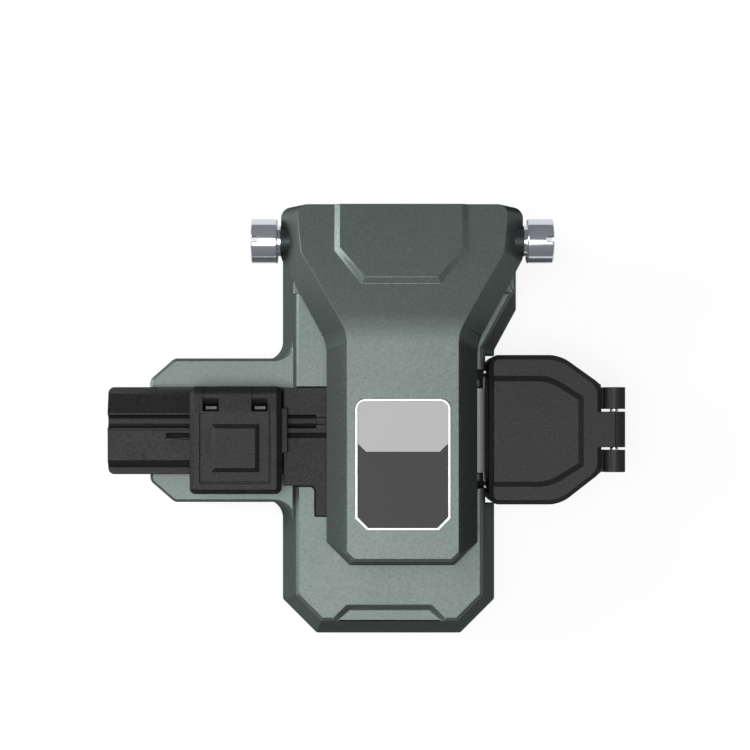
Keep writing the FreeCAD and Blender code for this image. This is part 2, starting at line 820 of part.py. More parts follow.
def base_fittings():
    """Bottom cover, its screws, the feet and the pegs for the bin."""
    cover = body("bottom_cover")
    cover_top = base_foot + size.cover_thick
    prism(cover, "plate", "XY", base_foot, cover_top, cover_outline(size.part_gap))
    heads = [(x, y, size.cover_head_radius + size.part_gap) for x, y in BOSSES]
    prism(cover, "head_seats", "XY", base_foot, base_foot + size.cover_head_thick, circles=heads, cut=True)
    holes = [(x, y, size.cover_screw_radius + size.part_gap) for x, y in BOSSES]
    prism(cover, "screw_holes", "XY", base_foot, cover_top, circles=holes, cut=True)
    group("cover_screws", [screw(f"cover_screw_{i}", "Z", base_foot, 1, place, size.cover_screw_radius,
                                 size.cover_head_radius, size.cover_head_thick, size.screw_long - 1)
                           for i, place in enumerate(BOSSES)])
    inset = size.foot_inset
    feet = [(x, y) for x in (inset - size.cavity_left, size.cavity_right - inset)
            for y in (2 * inset - size.cavity_front, cavity_back - 2 * inset)]
    wing_x = size.wing_foot_inset - size.wing_reach + size.edge_break
    feet += [(wing_x, size.wing_foot_inset + 1 - size.wing_front),
             (wing_x, size.wing_rear - size.wing_foot_inset - 1)]
    group("rubber_feet", [rod(f"foot_{i}", "Z", 0, base_foot, place, size.foot_radius, kept=False)
                          for i, place in enumerate(feet)])
    group("bin_pegs", [rod(f"peg_{i}", "X", size.notch_wall - size.peg_seat,
                           size.notch_wall + size.peg_reach,
                           (side * size.peg_spread - size.edge_break, size.peg_z), size.peg_radius,
                           kept=False) for i, side in enumerate((-1, 1))])


def wide_groove(owner, name, start, end):
    """Round-bottomed groove for the cable, along X."""
    half = size.wide_groove_width / 2
    low = size.plate_top - size.wide_groove_deep
    middle = size.wide_groove_middle
    top = size.plate_top + 1
    prism(owner, name, "YZ", start, end,
          [(middle - half, low, half * 0.8), (middle + half, low, half * 0.8),
           (middle + half, top), (middle - half, top)], cut=True)


def fibre_groove(owner, name, start, end, top):
    """V groove for the bare fibre, along X."""
    half = size.fibre_groove_width / 2
    deep = size.fibre_groove_deep
    prism(owner, name, "YZ", start, end,
          [(size.fibre_line, top - deep), (size.fibre_line + half * 2, top + deep),
           (size.fibre_line - half * 2, top + deep)], cut=True)


def guide_plate():
    plate = body("guide_plate")
    left = -size.plate_left
    right = size.plate_right
    top = size.plate_top
    prism(plate, "plate", "XY", plate_foot, top, plate_outline(0))
    wide_groove(plate, "cable_groove", left - 1, -size.wide_groove_end)
    half = size.thin_groove_width / 2
    middle = size.thin_groove_middle
    prism(plate, "thin_groove", "YZ", -size.wide_groove_end - 1, right + 1,
          [(middle - half, top - size.thin_groove_deep), (middle + half, top - size.thin_groove_deep),
           (middle + half, top + 1), (middle - half, top + 1)], cut=True)
    fibre_groove(plate, "vee_groove", left - 1, right + 1, top)
    open_y = carriage_y - travel
    reach = size.blade_radius * 0.7
    prism(plate, "blade_slot", "XY", plate_foot - 1, top + 1,
          rectangle(size.lever_mid - size.cheek_inner, size.lever_mid + size.cheek_inner,
                    open_y - reach, carriage_y + reach), cut=True)
    for side in (-1, 1):
        prism(plate, f"clamp_seat_{side + 1}", "XY", top - size.lower_rubber_deep, top + 1,
              clamp_plan(side, 0), cut=True)
    screws = plate_screw_places()
    heads = [(x, y, size.small_head_radius + size.part_gap) for x, y in screws]
    prism(plate, "screw_seats", "XY", top - size.small_head_thick, top + 1, circles=heads, cut=True)
    holes = [(x, y, size.block_screw_radius) for x, y in screws]
    prism(plate, "screw_holes", "XY", plate_foot - 1, top, circles=holes, cut=True)
    long = top - size.small_head_thick - (size.base_top - size.base_wall)
    shanks = [screw(f"plate_screw_{i}", "Z", top, -1, place, size.block_screw_radius,
                    size.small_head_radius, size.small_head_thick, long)
              for i, place in enumerate(screws)]
    group("guide_plate_screws", shanks)
    pads = [body(f"lower_pad_{i}", kept=False) for i in range(2)]
    for pad, side in zip(pads, (-1, 1)):
        prism(pad, "pad", "XY", top - size.lower_rubber_deep, top, clamp_plan(side, 0))
    group("lower_clamp_pads", pads)


def plate_screw_places():
    y = -size.plate_front + size.small_head_radius * 1.6
    side = size.clamp_outer - size.small_head_radius
    return [(size.lever_mid - side, y), (size.lever_mid + side - 1, y)]


def clamp_plan(side, gap):
    """Plan of one clamp pad beside the blade, from the inner to the outer edge."""
    inner = size.lever_mid + side * (size.clamp_inner + gap)
    outer = size.lever_mid + side * (size.clamp_outer - gap)
    low, high = (outer, inner) if side < 0 else (inner, outer)
    half = size.clamp_half_long - gap
    return rectangle(low, high, size.fibre_line - half, size.fibre_line + half)


def fibre_holder():
    """Rail on the wing: stepped and sloped section, two grooves, two lugs for the lid's pin."""
    rail = body("fibre_holder")
    left = -size.rail_left
    right = -size.plate_left - size.rail_gap
    front = -size.rail_front
    rear = size.rail_rear
    band = size.plate_top - size.rail_band_drop
    half = size.wide_groove_width / 2 + size.rail_ridge
    middle = size.wide_groove_middle
    prism(rail, "section", "YZ", left, right,
          [(front, size.wing_top), (rear, size.wing_top), (rear, band), (rear - size.rail_band, band),
           (rear - size.rail_band - size.rail_slope_rear, rail_flat), (middle + half, rail_flat),
           (middle + half, size.plate_top), (middle - half, size.plate_top),
           (middle - half, rail_flat), (front + size.rail_band + size.rail_slope_front, rail_flat),
           (front + size.rail_band, band), (front, band)])
    finish_edges(rail, "corners", "Fillet", size.rail_corner,
                 ((left, front, None), (left, front, None)), ((left, rear, None), (left, rear, None)))
    wide_groove(rail, "cable_groove", left - 1, right + 1)
    fibre_groove(rail, "vee_groove", -size.fibre_groove_start, right + 1, rail_flat)
    for i, (low, high) in enumerate(window_spans(size.lug_gap)):
        lug_rear = size.lid_pivot_y + size.lug_radius
        lug_front = size.lid_pivot_y - size.lug_radius * 0.6
        prism(rail, f"lug_{i}", "YZ", low, high,
              [(lug_front, band - 1), (lug_rear, band - 1), (lug_rear, size.lid_pivot_z),
               (lug_front, size.lid_pivot_z)])
        prism(rail, f"hub_{i}", "YZ", low, high,
              circles=[(size.lid_pivot_y, size.lid_pivot_z, size.lug_radius)])
    prism(rail, "pin_bore", "YZ", -size.lid_left, -size.lid_right,
          circles=[(size.lid_pivot_y, size.lid_pivot_z, size.lid_pin_radius + size.running_gap)], cut=True)
    magnets = magnet_places()
    prism(rail, "magnet_seats", "XY", rail_flat - size.magnet_deep, rail_flat + 1,
          circles=[(x, y, size.magnet_radius) for x, y in magnets], cut=True)
    group("lid_magnets", [rod(f"magnet_{i}", "Z", rail_flat - size.magnet_deep, rail_flat, place,
                              size.magnet_radius, kept=False) for i, place in enumerate(magnets)])
    tabs = []
    for i, (low, high) in enumerate(window_spans(size.lug_gap)):
        tab = body(f"spring_tab_{i}", kept=False)
        start = size.window_front + size.tab_gap
        spare = (size.window_wide - 2 * size.lug_gap - size.tab_wide) / 2
        prism(tab, "blade", "YZ", low + spare, high - spare,
              [(start, rail_flat), (start + size.tab_thick, rail_flat),
               (start + size.tab_thick, rail_flat + size.tab_high),
               (start, rail_flat + size.tab_high, size.tab_thick / 3)])
        tabs.append(tab)
    group("lid_spring_tabs", tabs)
    screw_y = [front + size.rail_band + size.rail_slope_front, rear - size.rail_band * 3.4]
    places = [(left / 2 + right / 2 + size.rail_band * 3, y) for y in screw_y]
    hidden = [screw(f"holder_screw_{i}", "Z", base_foot, 1, place, size.cover_screw_radius,
                    size.cover_head_radius, size.cover_head_thick,
                    size.wing_top - base_foot + size.cover_head_thick)
              for i, place in enumerate(places)]
    group("holder_screws", hidden)
    seats = [(x, y, size.cover_screw_radius) for x, y in places]
    prism(rail, "screw_seats", "XY", size.wing_top - 1,
          size.wing_top + 2 * size.cover_head_thick, circles=seats, cut=True)
    base = doc.getObject("base_housing")
    prism(base, "holder_screw_holes", "XY", base_foot - 1, size.wing_top + 1, circles=seats, cut=True)
    heads = [(x, y, size.cover_head_radius) for x, y in places]
    prism(base, "holder_head_seats", "XY", base_foot - 1, base_foot + size.cover_head_thick,
          circles=heads, cut=True)


def magnet_places():
    spread = size.magnet_radius + size.lid_chamfer
    return [(-size.lid_left + spread, -size.magnet_line), (-size.lid_right - spread, -size.magnet_line)]


def window_spans(gap):
    """Left and right edges, in X, of the lid's two windows, narrowed by the gap."""
    first = -size.window_left
    second = first + size.window_wide + size.window_middle_gap
    return [(start + gap, start + size.window_wide - gap) for start in (first, second)]


def holder_lid():
    """Clamp lid: flat plate that falls to the hinge barrel, with a raised pad and two windows."""
    lid = body("holder_lid")
    left = -size.lid_left
    right = -size.lid_right
    top = size.lid_top
    front = -size.lid_front
    prism(lid, "plate", "YZ", left, right,
          [(front, lid_foot), (front, top), (size.lid_fall_start, top, size.lid_curl * 4),
           (size.lid_rear, size.lid_rear_top, size.lid_curl), (size.lid_rear, lid_foot + 0.3, size.lid_curl),
           (size.lid_pivot_y - size.lid_curl, lid_foot)])
    finish_edges(lid, "front_corners", "Fillet", size.lid_corner,
                 ((left, front, None), (left, front, None)), ((right, front, None), (right, front, None)))
    finish_edges(lid, "side_edges", "Chamfer", size.lid_chamfer,
                 ((None, None, top), (left + 0.1, size.lid_fall_start, top)),
                 ((right - 0.1, None, top), (None, size.lid_fall_start, top)),
                 ((None, None, top), (None, front + 0.1, top)))
    prism(lid, "tongue", "XY", lid_foot, lid_foot + size.tongue_thick,
          rectangle(right - 1, -size.tongue_reach, -size.tongue_front, size.tongue_rear))

    def pad(inset):
        return rectangle(-size.pad_left + inset, -size.pad_right - inset,
                         -size.pad_front + inset, size.pad_rear - inset)
    loft(lid, "raised_pad", (top, pad(0)), (top + size.pad_raise, pad(size.pad_bevel)))
    lines = [rectangle(-size.line_left, -size.line_left + size.line_wide,
                       -size.line_front, size.line_left_rear),
             rectangle(-size.line_right - size.line_wide, -size.line_right,
                       -size.line_front, size.line_right_rear),
             rectangle(-size.line_left, -size.line_right, -size.line_front,
                       -size.line_front + size.line_wide)]
    for i, line in enumerate(lines):
        prism(lid, f"line_{i}", "XY", top - size.line_deep, top + 0.2, line, cut=True)
    for i, (low, high) in enumerate(window_spans(0)):
        prism(lid, f"window_{i}", "XY", lid_foot - 1, top + 1,
              rectangle(low, high, size.window_front, size.lid_rear + 1), cut=True)
    pivot = (size.lid_pivot_y, size.lid_pivot_z)
    prism(lid, "pin_bore", "YZ", left - 1, right + 1, circles=[(*pivot, size.lid_pin_radius)], cut=True)
    rod("lid_hinge_pin", "X", left + size.part_gap, right - size.part_gap, pivot, size.lid_pin_radius)
    half = size.clamp_rubber_wide / 2
    foot = rail_flat + size.lid_gap
    plan = rectangle(-size.pad_left, -size.pad_right, size.fibre_line - half, size.fibre_line + half / 2)
    prism(lid, "rubber_seat", "XY", lid_foot - 1, foot + size.clamp_rubber_thick, plan, cut=True)
    rubber = body("lid_rubber_pad")
    prism(rubber, "pad", "XY", foot, foot + size.clamp_rubber_thick, plan)


def lever_outline(rise, wall):
    """Plan of the lever `rise` above its upright sides, drawn in by the wall."""
    mid = size.lever_mid
    arm = size.arm_half - wall - size.arm_lean * rise
    rear = size.rear_half - wall - size.rear_lean * rise
    front = wall - size.lever_front + size.lever_front_lean * rise
    back = lever_back - wall
    cut = size.lever_cut - size.lever_cut_lean * rise
    start = size.bend_start + wall * 0.25 + size.bend_start_lean * rise
    end = size.bend_end + wall * 0.25 + size.bend_end_lean * rise
    half = [(arm - cut, front), (arm, front + cut), (arm, start, size.bend_start_radius),
            (rear, end, size.bend_end_radius), (rear, back, size.lever_corner)]
    right = [(mid + x, *others) for x, *others in half]
    left = [(mid - x, *others) for x, *others in reversed(half)]
    return right + left


def lever_form(name, wall, roof, foot):
    """Lever as a solid: upright sides, leaning upper part, and a roof that falls to the rear."""
    form = body(name, kept=False)
    form_top = size.lever_top + size.lever_form_spare
    rise = form_top - size.lever_side
    prism(form, "sides", "XY", foot, size.lever_side, lever_outline(dim(0), wall))
    loft(form, "upper", (size.lever_side, lever_outline(dim(0), wall)),
         (form_top, lever_outline(rise, wall)))
    top = size.lever_top - roof
    far = lever_back + 10
    fall = (far - size.slope_start) * turned("tan", size.slope_angle)
    prism(form, "roof", "YZ", lever_left - 5, lever_right + 5,
          [(-size.lever_front - 5, top), (size.slope_start, top, size.slope_radius),
           (far, top - fall), (far, form_top + 1), (-size.lever_front - 5, form_top + 1)], cut=True)
    return form


def lever_cover():
    """Cast lever: a shell with a raised panel at the rear and a seat for the label."""
    outer = lever_form("lever_outer", dim(0), dim(0), size.lever_foot)
    finish_edges(outer, "front_edge", "Chamfer", size.lever_edge,
                 ((None, None, size.lever_top), (None, 0 - size.label_front, size.lever_top)))
    rear_z = size.lever_top - (lever_back - size.slope_start) * turned("tan", size.slope_angle)
    lever_panel(outer, rear_z)
    prism(outer, "label_seat", "XY", size.lever_top - size.label_sink, size.lever_top + 1,
          label_outline(0), cut=True)
    hollow = lever_form("lever_hollow", size.lever_wall, size.lever_roof, size.lever_foot - 1)
    shell = cut_from("lever_shell", outer, hollow, kept=False)
    bores = rod("lever_bores", "X", lever_left - 1, lever_right + 1, (size.axle_y, size.axle_z),
                size.axle_radius, kept=False)
    strip = pinch_box("pinch_seat", kept=False)
    cut_from("lever_cover", shell, group("lever_cuts", [bores, strip], "Part::MultiFuse", kept=False))


def lever_panel(outer, rear_z):
    """Raised panel on the falling rear of the roof, bevelled on all sides but the rear."""
    angle = -size.slope_angle
    cosine = turned("cos", size.slope_angle)

    def along(y):
        return (y - lever_back) / cosine

    def outline(inset):
        mid = size.lever_mid - size.edge_break / 2
        wide = size.panel_half - inset
        narrow = size.panel_end_half - inset * 0.6
        rear = along(lever_back)
        bend = along(size.panel_bend) + inset * 0.4
        front = along(size.panel_front) + inset
        return [(mid - wide, rear), (mid - wide, bend), (mid - narrow, front), (mid + narrow, front),
                (mid + wide, bend), (mid + wide, rear)]
    sine = turned("sin", size.slope_angle)
    base_y = lever_back
    sink = size.panel_raise * 0.5

    def shelf(height, inset):
        return (rear_z + height * cosine, outline(inset), 0, base_y + height * sine)
    loft(outer, "panel", shelf(-sink, -size.panel_bevel * 0.5), shelf(size.panel_raise, size.panel_bevel),
         tilt=angle)
    prism(outer, "panel_trim", "XY", size.lever_foot, size.lever_top + 5,
          rectangle(lever_left - 5, lever_right + 5, lever_back, lever_back + 5), cut=True)


def label_outline(inset):
    """Label plan: round corners at the rear, cut corners at the front."""
    mid = size.lever_mid
    half = size.label_half - inset
    front = inset - size.label_front
    rear = size.label_rear - inset
    cut = size.label_cut - inset * 0.6
    radius = size.label_corner - inset
    return [(mid - half + cut, front), (mid + half - cut, front), (mid + half, front + cut),
            (mid + half, rear, radius), (mid - half, rear, radius), (mid - half, front + cut)]


def label():
    low = size.lever_top - size.label_sink
    frame = body("label_frame")
    prism(frame, "ring", "XY", low, size.lever_top + size.label_proud, label_outline(0))
    prism(frame, "opening", "XY", low - 1, size.lever_top + 1, label_outline(size.label_border), cut=True)
    plate = body("label_plate")
    prism(plate, "plate", "XY", low, size.lever_top + size.label_proud / 2,
          label_outline(size.label_border))


def hinge():
    """Axle, fixed in the lever, and the slotted knobs on its ends."""
    across = (size.axle_y, size.axle_z)
    seat = size.knob_long / 2
    rod("hinge_axle", "X", lever_left - size.knob_neck - seat, lever_right + size.knob_neck + seat,
        across, size.axle_radius)
    for side, name in ((-1, "hinge_knob_left"), (1, "hinge_knob_right")):
        face = size.lever_mid + side * size.rear_half
        knob = body(name)
        neck = face + side * size.knob_neck
        end = neck + side * size.knob_long
        edge = side * size.knob_chamfer
        outer = size.knob_radius
        profile = [(face, 0), (face, size.axle_radius + 0.6), (neck, size.axle_radius + 0.6),
                   (neck, outer - size.knob_chamfer), (neck + edge, outer), (end - edge, outer),
                   (end, outer - size.knob_chamfer), (end, 0)]
        spun(knob, "form", "XZ", (0, size.axle_z), profile, "H_Axis", level=-size.axle_y)
        low, high = (end, end - side * size.knob_slot_deep)
        if side > 0:
            low, high = high, low
        slot = size.knob_slot_wide / 2
        prism(knob, "slot", "YZ", low - 0.01, high + 0.01,
              [(size.axle_y - slot, size.axle_z - outer), (size.axle_y + slot, size.axle_z - outer),
               (size.axle_y + slot, size.axle_z + outer), (size.axle_y - slot, size.axle_z + outer)],
              cut=True)
        low, high = (face, neck + side * seat)
        if side < 0:
            low, high = high, low
        prism(knob, "axle_seat", "YZ", low, high, circles=[(*across, size.axle_radius)], cut=True)


def drive():
    """Drive arm on the axle, its pin, and the yoke on the carriage that the pin pushes."""
    arm = body("drive_arm")
    left = size.lever_mid - size.arm_inner
    right = left + size.arm_thick
    axle = (size.axle_y, size.axle_z)
    sine = turned("sin", size.arm_angle)
    cosine = turned("cos", size.arm_angle)

    def beside(place, radius, side):
        return (place[0] + side * radius * cosine, place[1] - side * radius * sine)
    pin = (pin_y, pin_z)
    prism(arm, "web", "YZ", left, right,
          [beside(axle, size.arm_hub_radius, -1), beside(pin, size.arm_tip_radius, -1),
           beside(pin, size.arm_tip_radius, 1), beside(axle, size.arm_hub_radius, 1)])
    prism(arm, "hub", "YZ", left - 1, right + 1, circles=[(*axle, size.arm_hub_radius)])
    prism(arm, "tip", "YZ", left, right, circles=[(*pin, size.arm_tip_radius)])
    prism(arm, "axle_bore", "YZ", left - 2, right + 2, circles=[(*axle, size.axle_radius)], cut=True)
    prism(arm, "pin_bore", "YZ", left - 2, right + 2, circles=[(*pin, size.drive_pin_radius)], cut=True)
    rod("drive_pin", "X", left, size.pin_reach, pin, size.drive_pin_radius)

    yoke = body("carriage_yoke")
    face = carriage_y + size.carriage_half_long
    low = size.lever_mid + size.yoke_inner
    high = low + size.yoke_thick
    slot = size.yoke_slot_half
    outer = slot + size.yoke_prong
    foot = size.yoke_foot
    slot_floor = pin_z - size.drive_pin_radius - size.yoke_floor_gap
    bar = slot_floor - size.yoke_floor_step
    top = size.axle_z - size.arm_reach * turned("cos", arm_end_angle) + size.yoke_overlap
    prism(yoke, "fork", "YZ", low, high,
          [(face, foot), (yoke_y + outer, foot), (yoke_y + outer, top),
           (yoke_y + slot, top), (yoke_y + slot, slot_floor, slot / 2),
           (yoke_y - slot, slot_floor, slot / 2), (yoke_y - slot, top),
           (yoke_y - outer, top), (yoke_y - outer, bar), (face, bar)])
    flange_top = foot + size.yoke_flange_high
    half = size.yoke_flange_half
    prism(yoke, "flange", "XZ", face, face + size.yoke_flange_thick,
          rectangle(size.lever_mid - half, size.lever_mid + half, foot, flange_top))
    holes = [(x, z, size.block_screw_radius) for x, z in yoke_screw_places()]
    prism(yoke, "screw_holes", "XZ", face - 1, face + size.yoke_flange_thick + 1, circles=holes, cut=True)
    outer_face = face + size.yoke_flange_thick + size.small_head_thick
    group("yoke_screws", [screw(f"yoke_screw_{i}", "Y", outer_face, -1, place, size.block_screw_radius,
                                size.small_head_radius - 0.4, size.small_head_thick,
                                size.yoke_flange_thick + 2)
                          for i, place in enumerate(yoke_screw_places())])


def yoke_screw_places():
    x = size.lever_mid - size.yoke_flange_half + size.small_head_radius
    return [(x, size.yoke_foot + size.small_head_radius)]


def carriage():
    """Block on two rods, with cheeks that hold the blade shaft, and the blade itself."""
    block = body("blade_carriage")
    mid = size.lever_mid
    front = carriage_y - size.carriage_half_long
    rear = carriage_y + size.carriage_half_long
    top = size.carriage_top
    prism(block, "block", "XY", size.carriage_foot, top,
          rectangle(mid - size.carriage_half, mid + size.carriage_half, front, rear, size.edge_break * 2))
    half = size.cheek_half_long
    cap = size.cheek_top - size.cheek_outer * 0.5
    prism(block, "cheeks", "YZ", mid - size.cheek_outer, mid + size.cheek_outer,
          [(carriage_y - half * 1.5, top - 1), (carriage_y + half * 1.5, top - 1),
           (carriage_y + half, cap), (carriage_y + half * 0.5, size.cheek_top),
           (carriage_y - half * 0.5, size.cheek_top), (carriage_y - half, cap)])
    well = size.blade_radius + size.edge_break
    prism(block, "blade_well", "XY", size.carriage_foot - 1, size.cheek_top + 1,
          rectangle(mid - size.cheek_inner, mid + size.cheek_inner, carriage_y - well, carriage_y + well),
          cut=True)
    rods = [(mid + side * size.rod_spread, size.rod_z, size.rod_radius + size.running_gap)
            for side in (-1, 1)]
    prism(block, "rod_bores", "XZ", front - 1, rear + 1, circles=rods, cut=True)
    prism(block, "shaft_bore", "YZ", mid - size.cheek_outer - 1, mid + size.cheek_outer + 1,
          circles=[(carriage_y, blade_z, size.blade_bore)], cut=True)
    yoke_holes = [(x, z, size.block_screw_radius) for x, z in yoke_screw_places()]
    prism(block, "yoke_holes", "XZ", rear - 3, rear + 1, circles=yoke_holes, cut=True)
    places = [(mid - size.rod_spread, carriage_y + side * size.height_screw_y) for side in (-1, 1)]
    screw_foot = size.rod_z + size.rod_radius + 0.3
    group("height_screws", [rod(f"height_screw_{i}", "Z", screw_foot, top + 1, place,
                                size.height_screw_radius, kept=False)
                            for i, place in enumerate(places)])
    prism(block, "height_holes", "XY", screw_foot, top + 1,
          circles=[(x, y, size.height_screw_radius) for x, y in places], cut=True)
    bosses = rod_bosses()
    group("guide_rods", [rod(f"guide_rod_{i}", "Y", bosses[0][0], bosses[1][1],
                             (mid + side * size.rod_spread, size.rod_z), size.rod_radius, kept=False)
                         for i, side in enumerate((-1, 1))])
    blade()


def blade():
    """Hard-metal wheel with a sharp rim, on a shaft that a nut holds in the cheeks."""
    mid = size.lever_mid
    wheel = body("blade_wheel")
    half = size.blade_half_thick
    rim = size.blade_radius
    bore = size.blade_bore + size.running_gap
    profile = [(mid - half, bore), (mid - half, rim - size.blade_bevel), (mid, rim),
               (mid + half, rim - size.blade_bevel), (mid + half, bore)]
    spun(wheel, "form", "XZ", (0, blade_z), profile, "H_Axis", level=-carriage_y)
    shaft = body("blade_shaft")
    left = mid - size.cheek_outer
    right = mid + size.cheek_outer
    head = left - size.shaft_head_thick
    end = right + size.nut_thick
    spun(shaft, "form", "XZ", (0, blade_z),
         [(head, 0), (head, size.shaft_head_radius), (left, size.shaft_head_radius),
          (left, size.blade_bore), (end, size.blade_bore), (end, 0)], "H_Axis", level=-carriage_y)
    nut = doc.addObject("Part::Prism", "nut_form")
    nut.Polygon = 6
    nut.Placement = Placement(Vector(), TURNS["X"])
    for letter, entry in zip("xyz", (right, carriage_y, blade_z)):
        bind(nut, f"Placement.Base.{letter}", entry)
    bind(nut, "Circumradius", size.nut_radius)
    bind(nut, "Height", size.nut_thick)
    bore = rod("nut_bore", "X", right - 1, end + 1, (carriage_y, blade_z), size.blade_bore, kept=False)
    cut_from("blade_nut", nut, bore)


def clamps():
    """Block under the lever that carries the anvil and the two sprung upper clamps."""
    block = body("clamp_block")
    mid = size.lever_mid
    roof = size.lever_top - size.lever_roof
    front = -size.block_front
    rear = size.block_rear
    prism(block, "lower", "XY", size.block_foot, size.block_shoulder,
          rectangle(mid - size.block_half, mid + size.block_half, front, rear, size.edge_break))
    prism(block, "neck", "XY", size.block_shoulder - 1, roof,
          rectangle(mid - size.block_neck_half, mid + size.block_neck_half, front + 1, rear - 1))
    for side, name in ((-1, "left"), (1, "right")):
        prism(block, f"clamp_seat_{name}", "XY", size.block_foot - 1, size.clamp_seat_high - 2,
              clamp_plan(side, -size.clamp_side_gap), cut=True)
        prism(block, f"spring_seat_{name}", "XY", size.clamp_seat_high - 3, size.clamp_seat_high,
              circles=[(mid + side * size.block_neck_half * 0.75, size.fibre_line,
                        size.spring_radius + size.spring_side_gap)], cut=True)
        clamp = body(f"upper_clamp_{name}")
        foot = size.plate_top + size.clamp_lift + size.rubber_thick
        prism(clamp, "slider", "XY", foot, size.clamp_slide_top, clamp_plan(side, 0))
        rubber = body(f"upper_rubber_{name}")
        prism(rubber, "pad", "XY", size.plate_top + size.clamp_lift, foot,
              clamp_plan(side, size.rubber_inset))
        clamp_spring(name, mid + side * size.block_neck_half * 0.75)
    anvil_plan = rectangle(mid - size.anvil_half, mid + size.anvil_half,
                           size.fibre_line - size.anvil_half_long, size.fibre_line + size.anvil_half_long)
    prism(block, "anvil_seat", "XY", size.block_foot - 1, size.anvil_head, anvil_plan, cut=True)
    anvil = body("anvil")
    prism(anvil, "bar", "XY", size.anvil_foot, size.anvil_head, anvil_plan)
    tip = body("anvil_rubber")
    prism(tip, "tip", "XY", size.plate_top + size.anvil_gap, size.anvil_foot, anvil_plan)
    places = [(mid, front + 3.0), (mid, rear - 3.0)]
    prism(block, "screw_holes", "XY", size.block_foot - 1, roof + 1,
          circles=[(x, y, size.block_screw_radius) for x, y in places], cut=True)
    group("clamp_block_screws",
          [screw(f"block_screw_{i}", "Z", size.block_foot - size.small_head_thick, 1, place,
                 size.block_screw_radius, size.small_head_radius, size.small_head_thick,
                 roof - size.block_foot) for i, place in enumerate(places)])
    pinch_box("pinch_strip", kept=True)


def clamp_spring(name, x):
    """Cone washers joined at their rims, between the clamp slider and the block."""
    spring = body(f"clamp_spring_{name}")
    low = size.clamp_slide_top
    rise = (size.clamp_seat_high - low) / CONES
    inside = [(size.spring_radius - size.spring_leaf if i % 2 else size.spring_bore, low + rise * i)
              for i in range(CONES + 1)]
    outside = [(radius + size.spring_leaf, z) for radius, z in reversed(inside)]
    spun(spring, "cones", "XZ", (x, 0), inside + outside, "V_Axis", level=-size.fibre_line)


def pinch_box(name, kept):
    """Rubber strip let into the lever's right rim, over the scrap roller."""
    strip = doc.addObject("Part::Box", name)
    strip.Label = name
    rim = size.lever_mid + size.arm_half - size.lever_wall / 2
    places = (rim - size.pinch_wide / 2, -size.roller_front + 1, size.lever_foot - size.pinch_drop)
    for letter, entry in zip("xyz", places):
        bind(strip, f"Placement.Base.{letter}", entry)
    bind(strip, "Length", size.pinch_wide)
    bind(strip, "Width", size.roller_front + size.roller_rear - 2)
    bind(strip, "Height", size.pinch_thick)
    if kept:
        PARTS.append(strip)
    return strip


def scrap_roller():
    """Steel roller in the trough, turning on a fixed shaft between two collars."""
    across = (size.roller_middle, roller_z)
    radius = size.roller_shaft_radius
    front = -size.roller_front
    rear = size.roller_rear
    drum = rod("roller_drum", "Y", front, rear, across, size.roller_radius, kept=False)
    bore = rod("roller_bore", "Y", front - 1, rear + 1, across, radius + size.running_gap, kept=False)
    cut_from("scrap_roller", drum, bore)
    rod("roller_shaft", "Y", -size.trough_front - 2, size.trough_rear + 2, across, radius)
    collars = []
    for i, start in enumerate((front - size.part_gap - size.collar_long, rear + size.part_gap)):
        ring = rod(f"collar_ring_{i}", "Y", start, start + size.collar_long, across,
                   size.collar_radius, kept=False)
        hole = rod(f"collar_hole_{i}", "Y", start - 1, start + size.collar_long + 1, across, radius,
                   kept=False)
        collars.append(cut_from(f"collar_{i}", ring, hole, kept=False))
    group("roller_collars", collars)


def bin_outline(inset):
    """Plan of the bin: small round corners on the left, long cut corners on the right."""
    left = size.bin_left + inset
    right = size.bin_right - inset
    rear = size.bin_rear - inset
    front = inset - size.bin_front
    long = size.bin_cut_long - inset * 0.6
    radius = size.bin_left_corner - inset * 0.5
    return [(left, front, radius), (right - long, front), (right, front + size.bin_cut_front - inset * 0.4),
            (right, rear - size.bin_cut_rear + inset * 0.4), (right - long, rear), (left, rear, radius)]


def scrap_bin():
    """Moulded bin with an open top, a scrap window on the left and hinge knuckles on the right."""
    tub = body("scrap_bin")
    prism(tub, "form", "XY", size.bin_foot, size.bin_rim, bin_outline(0))
    prism(tub, "hollow", "XY", size.bin_foot + size.bin_wall, size.bin_rim + 1,
          bin_outline(size.bin_wall), cut=True)
    prism(tub, "scrap_window", "YZ", size.bin_left - 1, size.bin_left + size.bin_wall + 1,
          rectangle(-size.scrap_window_front, size.scrap_window_rear,
                    size.scrap_window_foot, size.scrap_window_top), cut=True)
    for i, side in enumerate((-1, 1)):
        y = side * size.peg_spread - size.edge_break
        boss = size.peg_radius + size.bin_wall / 2
        prism(tub, f"peg_boss_{i}", "YZ", size.bin_left, size.notch_wall + size.peg_reach + 1,
              circles=[(y, size.peg_z, boss)])
        prism(tub, f"peg_hole_{i}", "YZ", size.bin_left - 1, size.notch_wall + size.peg_reach + 0.2,
              circles=[(y, size.peg_z, size.peg_radius + size.peg_gap)], cut=True)
    gap = size.barrel_gap
    knuckles = [(size.barrel_lid_rear + gap, size.barrel_rear),
                (-size.barrel_front, -size.barrel_lid_front - gap)]
    x = size.barrel_x
    z = size.barrel_z
    radius = size.barrel_radius
    root = size.bin_right - size.bin_wall / 2
    web = [(root, z - radius * 2.2), (x + radius * 0.7, z - radius * 0.7), (x, z + radius * 0.2),
           (root, z - radius * 0.2)]
    for i, (low, high) in enumerate(knuckles):
        knuckle(tub, f"knuckle_{i}", low, high, web)
    bore = (size.barrel_x, size.barrel_z, size.scrap_pin_radius)
    prism(tub, "pin_bore", "XZ", -size.barrel_front - 1, size.barrel_rear + 1, circles=[bore], cut=True)
    rod("scrap_lid_pin", "Y", -size.barrel_front, size.barrel_rear,
        (size.barrel_x, size.barrel_z), size.scrap_pin_radius)


